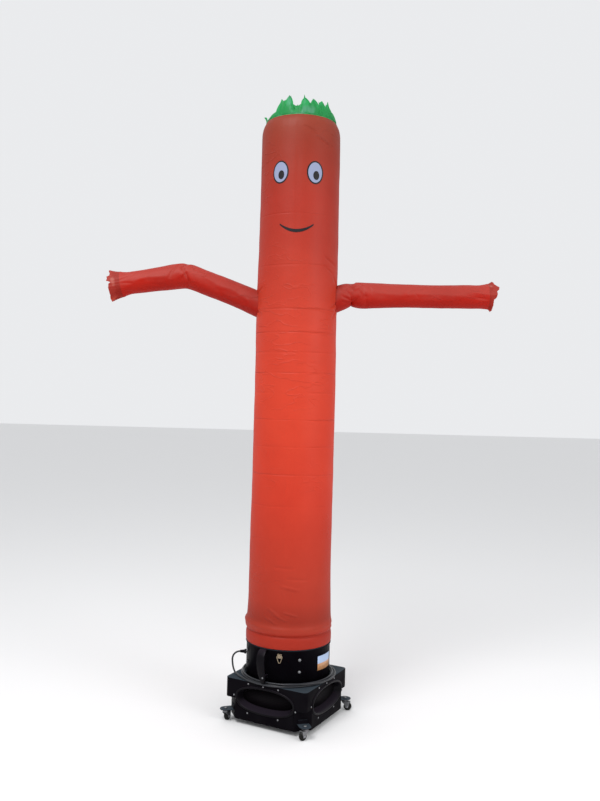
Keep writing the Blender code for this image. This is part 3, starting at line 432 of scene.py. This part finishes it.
def object_noise(tree, scale, detail=4.0, stretch=(1.0, 1.0, 1.0)):
    """Noise in the part's frame, stretched along the axes."""
    place = tree.nodes.new("ShaderNodeTexCoord")
    mapping = tree.nodes.new("ShaderNodeMapping")
    mapping.inputs["Scale"].default_value = stretch
    made = tree.nodes.new("ShaderNodeTexNoise")
    made.inputs["Scale"].default_value = scale
    made.inputs["Detail"].default_value = detail
    tree.links.new(place.outputs["Object"], mapping.inputs["Vector"])
    tree.links.new(mapping.outputs["Vector"], made.inputs["Vector"])
    return made.outputs["Fac"]


def mix_colours(tree, factor, first, second):
    ramp = tree.nodes.new("ShaderNodeValToRGB")
    ramp.color_ramp.elements[0].position = 0.32
    ramp.color_ramp.elements[0].color = (*first, 1.0)
    ramp.color_ramp.elements[1].position = 0.70
    ramp.color_ramp.elements[1].color = (*second, 1.0)
    tree.links.new(factor, ramp.inputs["Fac"])
    return ramp.outputs["Color"]


def height_ramp(tree, height, stops):
    """A colour that follows the height, from (height, colour) stops."""
    low, high = stops[0][0], stops[-1][0]
    ramp = tree.nodes.new("ShaderNodeValToRGB")
    marks = ramp.color_ramp.elements
    while len(marks) < len(stops):
        marks.new(0.5)
    for mark, (place, colour) in zip(marks, stops):
        mark.position = (place - low) / (high - low)
        mark.color = (*colour, 1.0)
    tree.links.new(mapped(tree, height, low, high), ramp.inputs["Fac"])
    return ramp.outputs["Color"]


def object_height(tree):
    place = tree.nodes.new("ShaderNodeTexCoord")
    split = tree.nodes.new("ShaderNodeSeparateXYZ")
    tree.links.new(place.outputs["Object"], split.inputs["Vector"])
    return split.outputs["Z"]


def facing_up(tree):
    """The upward part of the surface's direction, from -1 to 1."""
    facing = tree.nodes.new("ShaderNodeNewGeometry")
    split = tree.nodes.new("ShaderNodeSeparateXYZ")
    tree.links.new(facing.outputs["Normal"], split.inputs["Vector"])
    return split.outputs["Z"]


def packing_folds(tree):
    """Grooves at the heights of the fold lines, wavering and fading round the sleeve."""
    waver = math_node(tree, "MULTIPLY_ADD", object_noise(tree, 2.6, 2.0), FOLD_WAVER, -FOLD_WAVER / 2)
    height = math_node(tree, "ADD", object_height(tree), waver)
    found = []
    flat = (0.0, 0.0, 0.0)
    half = len(FOLD_LINES) // 2
    for lines in (FOLD_LINES[:half], FOLD_LINES[half:]):
        stops = [(lines[0][0] - FOLD_MARGIN, flat)]
        for z, depth in lines:
            stops += [(z - FOLD_HALF, flat), (z, (depth, depth, depth)), (z + FOLD_HALF, flat)]
        stops.append((lines[-1][0] + FOLD_MARGIN, flat))
        found.append(height_ramp(tree, height, stops))
    strength = mapped(tree, object_noise(tree, 4.5, 2.0, (1.0, 1.0, 0.4)), 0.40, 0.60, 0.15, 1.0)
    return math_node(tree, "MULTIPLY", math_node(tree, "ADD", *found), strength)


def crumples(tree, scale, stretch):
    """Thin creases in scattered patches."""
    off = math_node(tree, "SUBTRACT", object_noise(tree, scale, 2.0, stretch), 0.5)
    line = mapped(tree, math_node(tree, "ABSOLUTE", off), 0.0, 0.022, 1.0, 0.0)
    patch = mapped(tree, object_noise(tree, 3.1, 1.0), 0.50, 0.62)
    return math_node(tree, "MULTIPLY", line, patch)


def multiply(tree, first, second):
    """The product of two colours. Either may be a plain colour."""
    mix = tree.nodes.new("ShaderNodeMix")
    mix.data_type = "RGBA"
    mix.blend_type = "MULTIPLY"
    mix.inputs["Factor"].default_value = 1.0
    for value, socket in ((first, mix.inputs["A"]), (second, mix.inputs["B"])):
        if isinstance(value, tuple):
            socket.default_value = (*value, 1.0)
        else:
            tree.links.new(value, socket)
    return mix.outputs["Result"]


def cloth_shader(name, colour, shade, through, share, specular=0.25, seen_through=0.0, tones=(), under=None,
                 patches=None, folds=False):
    """Thin coated nylon: it shines softly, and light from behind glows through it."""
    mat, tree, node = shader(name, colour, 0.50, specular=specular)
    tint = mix_colours(tree, object_noise(tree, 5.0), shade, colour)
    # Painted light: paler patches stand for light glowing through the cuffs and for pale sheen on the hair
    if patches:
        painted_light_spots = mapped(tree, object_noise(tree, 26.0, 2.0, (1.0, 1.0, 0.55)), 0.57, 0.70)
        tint = mix_by(tree, painted_light_spots, tint, patches)
    lit = through
    # Painted light and shade: a height ramp multiplies both tints; on the sleeve it darkens the head and
    # hem and lights the roll
    if tones:
        ramp = height_ramp(tree, object_height(tree), tones)
        tint, lit = multiply(tree, tint, ramp), multiply(tree, lit, ramp)
    # Painted shade: faces turned down take the deeper under colour, with a ragged edge from noise
    if under:
        uneven = math_node(tree, "MULTIPLY_ADD", object_noise(tree, 9.0, 3.0), 0.9, -0.45)
        shaded = mapped(tree, math_node(tree, "ADD", facing_up(tree), uneven), -0.42, 0.24)
        shading = mix_by(tree, shaded, under, (1.0, 1.0, 1.0))
        tint, lit = multiply(tree, tint, shading), multiply(tree, lit, shading)
    glow = tree.nodes.new("ShaderNodeBsdfTranslucent")
    glow.inputs["Color"].default_value = (*through, 1.0)
    if lit is not through:
        tree.links.new(lit, glow.inputs["Color"])
    tree.links.new(tint, node.inputs["Base Color"])
    bump = add_bump(tree, node, object_noise(tree, 55.0, 6.0, (1.0, 1.0, 1.8)), 0.20, 0.003)
    bump = add_bump(tree, node, crumples(tree, 7.0, (1.0, 1.0, 2.4)), 1.0, 0.0013, bump)
    if folds:
        bump = add_bump(tree, node, packing_folds(tree), 1.0, 0.0036, bump)
        bump.invert = True
    blend = tree.nodes.new("ShaderNodeMixShader")
    blend.inputs["Fac"].default_value = share
    tree.links.new(node.outputs["BSDF"], blend.inputs[1])
    tree.links.new(glow.outputs["BSDF"], blend.inputs[2])
    result = blend
    if seen_through:
        clear = tree.nodes.new("ShaderNodeBsdfTransparent")
        clear.inputs["Color"].default_value = (*through, 1.0)
        result = tree.nodes.new("ShaderNodeMixShader")
        result.inputs["Fac"].default_value = seen_through
        tree.links.new(blend.outputs["Shader"], result.inputs[1])
        tree.links.new(clear.outputs["BSDF"], result.inputs[2])
    out = tree.nodes["Material Output"]
    tree.links.new(result.outputs["Shader"], out.inputs["Surface"])
    return mat


def enamel_shader(name, colour, dust, roughness, gloss=1.06, top=(0.034, 0.044, 0.054)):
    """Black enamel with a thin film of dust, and a painted sky reflection that makes the faces pointing up
    lighter and bluer.
    """
    mat, tree, node = shader(name, colour, roughness)
    node.inputs["IOR"].default_value = gloss
    film = mix_colours(tree, object_noise(tree, 9.0, 7.0), colour, dust)
    # Painted sky reflection: the faces that point up take the lighter, bluer top colour
    level = mapped(tree, facing_up(tree), 0.45, 0.95)
    tree.links.new(mix_by(tree, level, film, top), node.inputs["Base Color"])
    add_bump(tree, node, object_noise(tree, 420.0, 2.0), 0.10, 0.0006)
    return mat


def mesh_shader(name, colour, hole_shade):
    """Sheet with fine round holes, painted dark for the shade of the space behind them."""
    mat, tree, node = shader(name, colour, 0.6, specular=0.05)
    place = tree.nodes.new("ShaderNodeTexCoord")
    mapping = tree.nodes.new("ShaderNodeMapping")
    mapping.inputs["Rotation"].default_value = (0.0, 0.0, -HOUSING_YAW)
    pattern = tree.nodes.new("ShaderNodeTexVoronoi")
    pattern.inputs["Scale"].default_value = 140.0
    pattern.inputs["Randomness"].default_value = 0.0
    tree.links.new(place.outputs["Object"], mapping.inputs["Vector"])
    tree.links.new(mapping.outputs["Vector"], pattern.inputs["Vector"])
    rim = mapped(tree, pattern.outputs["Distance"], 0.26, 0.34)
    tree.links.new(mix_by(tree, rim, hole_shade, colour), node.inputs["Base Color"])
    return mat


def label_shader(name):
    """Blank film in two plain tones, blue-grey over orange."""
    mat, tree, node = shader(name, (0.36, 0.44, 0.60), 0.30)
    over = math_node(tree, "GREATER_THAN", object_height(tree), LABEL_MIDDLE)
    tree.links.new(mix_colours(tree, over, LABEL_LOW, LABEL_HIGH), node.inputs["Base Color"])
    return mat


def make_materials():
    black = (0.0030, 0.0022, 0.0034)
    return {
        "red": cloth_shader("red_cloth", (0.72, 0.062, 0.034), (0.66, 0.052, 0.028),
                            (0.95, 0.060, 0.020), 0.30, tones=SLEEVE_PAINTED_LIGHT, folds=True),
        # Painted shade: under darkens the faces of the arms and cuffs that turn down
        "arm": cloth_shader("arm_cloth", (0.385, 0.044, 0.032), (0.335, 0.034, 0.024),
                            (0.66, 0.024, 0.012), 0.20, specular=0.16, under=(1.10, 0.27, 0.12)),
        # Painted light: the patches are pale pink glow through the cuffs and pale sheen streaks on the hair
        "cuff": cloth_shader("cuff_cloth", (0.31, 0.036, 0.026), (0.25, 0.026, 0.018),
                             (0.66, 0.10, 0.08), 0.24, specular=0.16, seen_through=0.10,
                             under=(0.95, 0.45, 0.32), patches=(0.44, 0.15, 0.12)),
        "green": cloth_shader("hair_cloth", (0.026, 0.30, 0.085), (0.008, 0.23, 0.058),
                              (0.07, 0.64, 0.22), 0.34, seen_through=0.08, patches=(0.09, 0.32, 0.18)),
        # Painted sky reflection: top is the colour of the faces pointing up on the box, collar, plastic and
        # treads
        "enamel": enamel_shader("box_enamel", black, (0.0052, 0.0046, 0.0060), 0.40),
        "collar": enamel_shader("collar_enamel", black, (0.0052, 0.0048, 0.0066), 0.34),
        "plastic": enamel_shader("black_plastic", black, (0.0048, 0.0042, 0.0056), 0.28, 1.15,
                                 (0.017, 0.013, 0.019)),
        "mesh": mesh_shader("wire_mesh", (0.0042, 0.0030, 0.0042), (0.0010, 0.0008, 0.0010)),
        "steel": shader("zinc_steel", (0.30, 0.30, 0.32), 0.38, 1.0)[0],
        "dull": shader("dull_steel", (0.22, 0.22, 0.23), 0.50, 1.0)[0],
        "brass": shader("worn_brass", (0.30, 0.24, 0.17), 0.40, 1.0)[0],
        "rubber": shader("cable_sheath", (0.011, 0.012, 0.016), 0.36, specular=0.45)[0],
        "tread": enamel_shader("wheel_tread", (0.012, 0.012, 0.012), (0.026, 0.025, 0.023), 0.70,
                               top=(0.05, 0.05, 0.05)),
        "label": label_shader("blank_label"),
        "black_print": shader("black_print", (0.008, 0.007, 0.009), 0.50, specular=0.2)[0],
        "eye_print": shader("eye_print", (0.22, 0.25, 0.37), 0.50, specular=0.2)[0],
    }


# Sleeve


def sleeve_profile():
    """Smooth (radius, height) rows, closer together at the hem, the roll and the top."""
    fine = smooth_points([(z, r) for z, r in TUBE_PROFILE], 6000)
    heights, radii = fine[:, 0], fine[:, 1]
    weight = np.ones_like(heights)
    for middle, half in DENSE_ROWS:
        weight = weight + DENSER * np.exp(-((heights - middle) / half) ** 2)
    step = np.hypot(np.diff(heights), np.diff(radii)) * (weight[1:] + weight[:-1]) / 2
    along = np.concatenate([[0.0], np.cumsum(step)])
    wanted = np.linspace(0.0, along[-1], SLEEVE_ROWS)
    return np.interp(wanted, along, heights), np.interp(wanted, along, radii)


def sleeve_offsets(angles, heights):
    """How far the cloth stands out from its plain profile, for grids of azimuth and height."""
    fade = np.clip(np.minimum(heights - BULGES_FROM, BULGES_TO - heights) / 0.10, 0.0, 1.0)
    out = np.zeros_like(heights)
    for count, size, turn in TUBE_BULGES:
        out += fade * size * np.sin(count * angles + turn * math.tau * heights)
    ring = np.stack([np.cos(angles), np.sin(angles), heights], axis=-1)
    uneven = noise_field(ring * (1.6, 1.6, 9.0), 1.0, 1)
    for a0, z0, a1, z1, depth, half in SHORT_CREASES:
        middle = math.radians((a0 + a1) / 2)
        around = turned_from(angles, middle)
        reach = math.radians(a1 - a0) / 2 * SLEEVE_R
        fold = segment_fold(around * SLEEVE_R, heights, (-reach, z0), (reach, z1), half)
        out -= CREASE_DEEPER * depth * fold
    for azimuth, high in SEAMS:
        across = turned_from(angles, math.radians(azimuth)) * SLEEVE_R
        inside = np.clip((heights - SEAMS_FROM) / 0.05, 0.0, 1.0)
        inside = inside * np.clip((high - 0.02 - heights) / 0.03, 0.0, 1.0)
        pucker = 0.4 + 0.6 * np.clip(uneven + 0.4, 0, 1)
        out += inside * SEAM_RIDGE[0] * np.exp(-(across / SEAM_RIDGE[1]) ** 2)
        out -= inside * SEAM_PUCKER[0] * np.exp(-(across / SEAM_PUCKER[1]) ** 2) * pucker
    hem = np.exp(-((heights - HEM_MIDDLE) / 0.018) ** 2)
    out += hem * 0.0013 * noise_field(ring * (7.0, 7.0, 26.0), 1.0, 3)
    left = 0.5 + 0.5 * np.cos(angles - ROLL_AZIMUTH)
    crest = np.exp(-((heights - ROLL_MIDDLE - ROLL_RISE * left) / 0.011) ** 2)
    out += crest * (ROLL_FULL * left - ROLL_SLACK * (1.0 - left))
    out -= GROOVE_DEPTH * np.exp(-((heights - GROOVE_MIDDLE) / 0.0050) ** 2)
    above = np.exp(-np.clip(heights - 0.440, 0.0, 9.0) / 0.06)
    above = above * np.clip((heights - 0.405) / 0.02, 0.0, 1.0)
    out += above * 0.0016 * noise_field(ring * (5.0, 5.0, 7.0), 1.0, 4)
    near_top = np.exp(-np.clip(TOP_GATHER - heights, 0.0, 9.0) / 0.030)
    out += near_top * 0.0024 * noise_field(ring * (8.0, 8.0, 3.0), 1.0, 5)
    out += 0.0011 * fade * noise_field(ring * (3.5, 3.5, 14.0), 1.0, 6)
    return out


def make_sleeve(mats):
    heights, radii = sleeve_profile()
    angles = np.concatenate([np.linspace(-math.pi, 0.0, FRONT_SIDES, endpoint=False),
                             np.linspace(0.0, math.pi, BACK_SIDES, endpoint=False)])
    around, up = np.meshgrid(angles, heights)
    radius = radii[:, None] + sleeve_offsets(around, up) - SKIN_INSET
    points = np.stack([radius * np.cos(around), radius * np.sin(around), up], axis=-1)
    sleeve = grid_object("sleeve", points, mats["red"])
    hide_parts("tube_foot", "tube_waist", "tube_head")
    return sleeve, (heights, angles, radius)


def on_sleeve(surface, azimuth, z, proud):
    """The point on the front of the sleeve at an azimuth in degrees and a height."""
    heights, angles, radius = surface
    a = math.radians(azimuth)
    row = min(max(int(np.searchsorted(heights, z)), 1), len(heights) - 1)
    share = (z - heights[row - 1]) / (heights[row] - heights[row - 1])
    column = int(np.searchsorted(angles, a))
    part = (a - angles[column - 1]) / (angles[column] - angles[column - 1])
    near = radius[row - 1:row + 1, [column - 1, column]]
    r = (near[0] * (1 - share) + near[1] * share) @ (1 - part, part) + proud
    return Vector((r * math.cos(a), r * math.sin(a), z))


# Print on the sleeve


def oval_disc(bm, surface, centre, half, proud, index):
    """A filled oval laid on the sleeve: centre in azimuth and height, half sizes in metres."""
    azimuth, z = centre
    loops = []
    for ring in range(1, OVAL_RINGS + 1):
        share = ring / OVAL_RINGS
        loop = []
        for k in range(OVAL_SIDES):
            angle = math.tau * k / OVAL_SIDES
            turned = azimuth + math.degrees(half[0] * share * math.cos(angle) / FACE_R)
            up = half[1] * share * math.sin(angle)
            loop.append(bm.verts.new(on_sleeve(surface, turned, z + up, proud)))
        loops.append(loop)
    middle = bm.verts.new(on_sleeve(surface, azimuth, z, proud))
    for k in range(OVAL_SIDES):
        face = bm.faces.new((middle, loops[0][k], loops[0][(k + 1) % OVAL_SIDES]))
        face.material_index = index
    for inner, outer in zip(loops, loops[1:]):
        bridge(bm, outer, inner, index)


def make_face(mats, surface):
    """Two plain upright oval eyes and a curved smile, printed on the cloth."""
    made = []
    for side, azimuth in EYES:
        bm = bmesh.new()
        for turn, rise, half, proud, index in EYE_OVALS:
            oval_disc(bm, surface, (azimuth + turn, EYE_Z + rise), half, proud, index)
        made.append(mesh_object(f"eye_{side}", bm, (mats["black_print"], mats["eye_print"])))
    bm = bmesh.new()
    rows = []
    for i in range(SMILE_ROWS):
        t = 2 * i / (SMILE_ROWS - 1) - 1
        thick = SMILE_HALF[2] * (1 - 0.55 * t * t)
        z = SMILE_PLACE[1] + SMILE_HALF[1] * t * t
        azimuth = SMILE_PLACE[0] + math.degrees(SMILE_HALF[0] * t / SLEEVE_R)
        rows.append([bm.verts.new(on_sleeve(surface, azimuth, z + v * thick, SMILE_PROUD))
                     for v in (-1, -0.33, 0.33, 1)])
    for first, second in zip(rows, rows[1:]):
        for k in range(3):
            bm.faces.new((first[k], second[k], second[k + 1], first[k + 1]))
    made.append(mesh_object("smile", bm, (mats["black_print"],)))
    return made


# Arms


def arm_frames(table, rows):
    line = smooth_points(table, rows)
    way = np.gradient(line[:, :2], axis=0)
    way /= np.linalg.norm(way, axis=1)[:, None]
    sign = 1.0 if table[-1][0] > 0 else -1.0
    return line, way, sign


def make_arm(name, table, creases, mats, replaced, seed):
    """An arm's sleeve with its pinches and creases. Where it meets the body, it lies on its cloth."""
    line, way, sign = arm_frames(table, ARM_ROWS)
    angles = math.tau * np.arange(ARM_SIDES) / ARM_SIDES
    x, z, radius = (np.repeat(line[:, k:k + 1], ARM_SIDES, axis=1) for k in range(3))
    around = np.repeat(angles[None, :], ARM_ROWS, axis=0)
    out = np.zeros_like(x)
    for a0, x0, a1, x1, depth, half in creases:
        middle = math.radians((a0 + a1) / 2)
        across = turned_from(around, middle) * ARM_R
        reach = math.radians(a1 - a0) / 2 * ARM_R
        out -= depth * segment_fold(across, x, (-reach, x0), (reach, x1), half)
    ring = np.stack([x * 9.0, np.cos(around) * 1.1, np.sin(around) * 1.1], axis=-1)
    out += 0.0016 * noise_field(ring, 1.0, seed) + 0.0007 * noise_field(ring, 3.1, seed + 1)
    across = turned_from(around, math.radians(ARM_SEAM)) * ARM_R
    out += ARM_SEAM_RIDGE[0] * np.exp(-(across / ARM_SEAM_RIDGE[1]) ** 2)
    up_x, up_z = (-way[:, 1] * sign)[:, None], (way[:, 0] * sign)[:, None]
    radius = radius + out - SKIN_INSET
    px = x + radius * np.cos(around) * up_x
    py = radius * np.sin(around) * -1.0
    pz = z + radius * np.cos(around) * up_z
    body = np.interp(pz, [p[0] for p in TUBE_PROFILE], [p[1] for p in TUBE_PROFILE]) - 0.0015
    inside = np.hypot(px, py) < body
    px = np.where(inside, sign * np.sqrt(np.maximum(body ** 2 - py ** 2, 0.0)), px)
    points = np.stack([px, py, pz], axis=-1)
    arm = grid_object(name, points, mats["arm"])
    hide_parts(replaced)
    return arm, points[-1]


def strip_rows(base, side, along, out, length, width, lean, sideways, curl, blunt, seed):
    """Rows of points across one torn strip, with ripples along it."""
    rows = []
    for i in range(10):
        t = i / 9
        wide = width * (1.0 - 0.25 * t - (0.75 - blunt) * t ** 3.5)
        centre = base + along * (length * t) + out * (lean * t ** 1.4) + side * (sideways * t * t)
        row = []
        for k in range(7):
            v = k / 6 - 0.5
            ripple = curl * (0.25 + t) * math.sin(v * 6.5 + seed * 2.1 + t * 2.0)
            torn = length * t ** 5 * (0.12 * abs(v) * 2 + 0.07 * math.sin(v * 9.0 + seed * 1.7))
            row.append(centre + side * (v * wide) + out * ripple - along * torn)
        rows.append(row)
    return rows


def add_strip(bm, rows):
    grid = [[bm.verts.new(p) for p in row] for row in rows]
    for first, second in zip(grid, grid[1:]):
        for k in range(len(first) - 1):
            bm.faces.new((first[k], first[k + 1], second[k + 1], second[k]))


def add_band(bm, place, radius, low, high, sides, seed, ripple):
    """A short band of cloth that closes round."""
    rows = []
    for i in range(4):
        t = i / 3
        row = []
        for k in range(sides):
            angle = math.tau * k / sides
            r = radius + ripple * math.sin(angle * 7 + seed) * (0.4 + t)
            spot = Vector((r * math.cos(angle), r * math.sin(angle), low + (high - low) * t))
            row.append(bm.verts.new(place @ spot))
        rows.append(row)
    for first, second in zip(rows, rows[1:]):
        bridge(bm, first, second)


def make_cuff(name, table, form, end, mats, replaced):
    """The cuff, which flares from the arm's last ring to a torn edge."""
    (x0, z0, _), (x1, z1, _) = table[-2:]
    along = np.array((x1 - x0, 0.0, z1 - z0)) / math.hypot(x1 - x0, z1 - z0)
    turns = np.arange(CUFF_SIDES) * 360.0 / CUFF_SIDES
    given = np.arange(ARM_SIDES) * 360.0 / ARM_SIDES
    ring = np.stack([np.interp(turns, given, end[:, k], period=360.0) for k in range(3)], axis=-1)
    out = ring - np.array((x1, 0.0, z1))
    out /= np.linalg.norm(out, axis=1)[:, None]
    ways, lengths, leans = zip(*form)
    length = np.interp(turns, ways, lengths, period=360.0)[:, None]
    lean = np.interp(turns, ways, leans, period=360.0)[:, None]
    jag = 0.0016 * noise_field(out, 21.0, len(form))[:, None]
    ripple = 0.0014 * noise_field(out, 7.0, len(form) + 1)[:, None]
    t = np.linspace(0.0, 1.0, CUFF_ROWS)[:, None, None]
    points = ring + along * ((length + jag) * t) + out * (lean * t ** 1.4 + ripple * t)
    cuff = grid_object(name, points, mats["cuff"])
    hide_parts(replaced)
    return cuff


def make_hair(mats):
    """Two rounds of torn green strips on a narrow band over the sleeve's top."""
    rim_z, rim_r = TUBE_PROFILE[-1]
    up = Vector((0.0, 0.0, 1.0))
    bm = bmesh.new()
    add_band(bm, Matrix.Identity(4), rim_r - 0.001, rim_z - 0.001, rim_z + 0.009, 96, 0.0, 0.0008)
    count = len(HAIR_FORMS)
    for layer in range(2):
        for i in range(count):
            length, lean, sideways = HAIR_FORMS[i]
            if layer:
                following = HAIR_FORMS[(i + 1) % count]
                length = INNER_LOCKS * (length + following[0]) / 2
                lean, sideways = (lean + following[1]) / 2, -sideways
            angle = math.tau * (i + 0.5 + 0.5 * layer) / count
            out = Vector((math.cos(angle), math.sin(angle), 0.0))
            side = Vector((-out.y, out.x, 0.0))
            base = out * (rim_r - 0.001 - INNER_STEP * layer) + up * (rim_z + 0.005)
            blunt = BLUNT_END if i in BLUNT_LOCKS and not layer else POINTED_END
            add_strip(bm, strip_rows(base, side, up, out, length, LOCK_WIDTH, lean - 0.006 * layer,
                                     sideways, LOCK_CURL, blunt, i + layer * 40))
    hair = mesh_object("hair", bm, (mats["green"],), sharp=None)
    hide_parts("hair_fringe")
    return hair


# Blower


def refine(node, mat, width=0.0, segments=2, angle=35.0):
    """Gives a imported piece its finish, with its sharp edges rounded a little."""
    obj = NODES[node]
    mesh = obj.data
    mesh.materials.clear()
    mesh.materials.append(mat)
    if "custom_normal" in mesh.attributes:
        mesh.attributes.remove(mesh.attributes["custom_normal"])
    weld = obj.modifiers.new("Weld", "WELD")
    weld.merge_threshold = 0.00001
    if width:
        bevel = obj.modifiers.new("Bevel", "BEVEL")
        bevel.width = width
        bevel.segments = segments
        bevel.limit_method = "ANGLE"
        bevel.angle_limit = math.radians(angle)
        bevel.harden_normals = False
    mesh.shade_smooth()
    mesh.set_sharp_from_angle(angle=math.radians(angle))


def finish_packed_nodes(mats):
    for index in range(4):
        refine(f"inlet_guard_{index}", mats["mesh"])
    refine("housing", mats["enamel"], 0.0012)
    refine("collar", mats["collar"])
    refine("handle", mats["plastic"], 0.0010)
    refine("lashing_plate", mats["brass"], 0.0005)
    refine("lashing_ring", mats["brass"])
    refine("label_plate", mats["label"])
    refine("cord_gland", mats["plastic"], 0.0006)
    refine("plug", mats["rubber"], 0.0012)
    for azimuth in ("016", "106", "196", "286"):
        for level in ("low", "high"):
            refine(f"collar_bolt_{azimuth}_{level}", mats["dull"])
    for place in ("front", "right", "back", "left"):
        refine(f"caster_bracket_{place}", mats["collar"], 0.0006)
        refine(f"caster_fork_{place}", mats["dull"], 0.0004)
        refine(f"caster_axle_{place}", mats["steel"])
        refine(f"caster_wheel_{place}", mats["tread"])


def make_inlets(mats):
    """The four rolled lips with their funnels."""
    bm = bmesh.new()
    for quarter in range(4):
        turn = Matrix.Rotation(HOUSING_YAW + quarter * math.pi / 2, 4, "Z")
        loops = []
        for inset, x in INLET_SECTION:
            loop = []
            for i in range(INLET_SIDES):
                angle = math.tau * i / INLET_SIDES
                across, up = math.cos(angle), math.sin(angle)
                share = (abs(across) ** OVAL_POWER + abs(up) ** OVAL_POWER) ** (-1 / OVAL_POWER)
                point = (x, (INLET_LENGTH / 2 - inset) * across * share,
                         INLET_Z + (INLET_HEIGHT / 2 - inset) * up * share)
                loop.append(bm.verts.new(turn @ Vector(point)))
            loops.append(loop)
        for first, second in zip(loops, [*loops[1:], loops[0]]):
            bridge(bm, first, second)
    bmesh.ops.recalc_face_normals(bm, faces=bm.faces)
    inlets = mesh_object("inlet_lips", bm, (mats["plastic"],), sharp=50.0)
    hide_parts(*(f"inlet_ring_{index}" for index in range(4)))


def dome(bm, place, radius, proud, sides=20):
    """A low domed head, its flat side on the frame's YZ plane."""
    loops = []
    turns = [math.tau * k / sides for k in range(sides)]
    for share, rise in DOME:
        x, r = proud * rise, radius * share
        loops.append([bm.verts.new(place @ Vector((x, r * math.cos(turn), r * math.sin(turn))))
                      for turn in turns])
    for first, second in zip(loops, loops[1:]):
        bridge(bm, first, second)
    bm.faces.new(loops[-1])


def make_screws(mats):
    """Small screws round each inlet, and the one in the handle's knob."""
    bm = bmesh.new()
    for quarter in range(4):
        turn = Matrix.Rotation(HOUSING_YAW + quarter * math.pi / 2, 4, "Z")
        for along, up in SCREWS:
            dome(bm, turn @ Matrix.Translation((BOX_HALF, along, INLET_Z + up)), SCREW_R, SCREW_PROUD)
    dome(bm, Matrix.Rotation(HANDLE_AZIMUTH, 4, "Z") @ Matrix.Translation(KNOB_TOP), SCREW_R, SCREW_PROUD)
    return mesh_object("inlet_screws", bm, (mats["dull"],))


def lead_points():
    radii, azimuths, heights = (np.array(column) for column in zip(*LEAD_TURNS))
    steps = np.arange(azimuths[0], azimuths[-1], TURN_STEP)
    turns = zip(np.interp(steps, azimuths, radii), steps, np.interp(steps, azimuths, heights))
    route = [(r * math.cos(math.radians(a)), r * math.sin(math.radians(a)), z)
             for r, a, z in (*LEAD_LOOP, *turns, *LEAD_TAIL)]
    return smooth_points(route, LEAD_POINTS)


def make_lead(mats):
    """The mains lead as one run, from its gland round the collar's foot to the plug."""
    line = lead_points()
    curve = bpy.data.curves.new("mains_lead", "CURVE")
    curve.dimensions = "3D"
    curve.bevel_depth = LEAD_R
    curve.bevel_resolution = 4
    curve.use_fill_caps = True
    spline = curve.splines.new("POLY")
    spline.points.add(len(line) - 1)
    for point, place in zip(spline.points, line):
        point.co = (*place, 1.0)
    spline.use_smooth = True
    curve.materials.append(mats["rubber"])
    lead = bpy.data.objects.new("mains_lead", curve)
    bpy.context.scene.collection.objects.link(lead)
    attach(lead, ROOT)
    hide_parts("cord_loop", "cord_coil", "cord_tail")
    return lead


# Surroundings


def make_stage():
    mesh = bpy.data.meshes.new("floor")
    reach = 40.0
    mesh.from_pydata([(-reach, -reach, FLOOR_Z), (reach, -reach, FLOOR_Z), (reach, reach, FLOOR_Z),
                      (-reach, reach, FLOOR_Z)], [], [(0, 1, 2, 3)])
    floor = bpy.data.objects.new("floor", mesh)
    bpy.context.scene.collection.objects.link(floor)
    mat, _, _ = shader("pale_floor", (0.80, 0.80, 0.80), 0.9, specular=0.1)
    mesh.materials.append(mat)
    world = bpy.data.worlds.new("pale_sky")
    bpy.context.scene.world = world
    world.use_nodes = True
    world.node_tree.nodes["Background"].inputs["Color"].default_value = (0.97, 0.98, 1.0, 1.0)
    world.node_tree.nodes["Background"].inputs["Strength"].default_value = 0.85


def make_light(name, place, aim, size, power):
    data = bpy.data.lights.new(name, "AREA")
    data.shape = "DISK"
    data.size = size
    data.energy = power
    light = bpy.data.objects.new(name, data)
    light.location = place
    light.rotation_euler = (Vector(aim) - Vector(place)).to_track_quat("-Z", "Y").to_euler()
    bpy.context.scene.collection.objects.link(light)


def make_camera():
    data = bpy.data.cameras.new("camera")
    data.lens = CAMERA_LENS
    data.sensor_width = CAMERA_SENSOR
    camera = bpy.data.objects.new("camera", data)
    turn = Matrix.Rotation(TOP_DOWN + CAMERA_PITCH, 4, "X") @ Matrix.Rotation(CAMERA_ROLL, 4, "Z")
    camera.matrix_world = Matrix.Translation(CAMERA_PLACE) @ turn
    bpy.context.scene.collection.objects.link(camera)
    bpy.context.scene.camera = camera


mats = make_materials()
sleeve, surface = make_sleeve(mats)
face = make_face(mats, surface)
arm_left, left_end = make_arm("left_sleeve", LEFT_ARM, LEFT_ARM_CREASES, mats, "arm_left", 11)
arm_right, right_end = make_arm("right_sleeve", RIGHT_ARM, RIGHT_ARM_CREASES, mats, "arm_right", 21)
cuff_left = make_cuff("left_cuff", LEFT_ARM, LEFT_CUFF, left_end, mats, "cuff_frill_left")
cuff_right = make_cuff("right_cuff", RIGHT_ARM, RIGHT_CUFF, right_end, mats, "cuff_frill_right")
hair = make_hair(mats)
finish_packed_nodes(mats)
make_inlets(mats)
make_screws(mats)
make_lead(mats)
make_stage()
for light in LIGHTS:
    make_light(*light)
make_camera()
bpy.context.scene.view_settings.view_transform = "Standard"
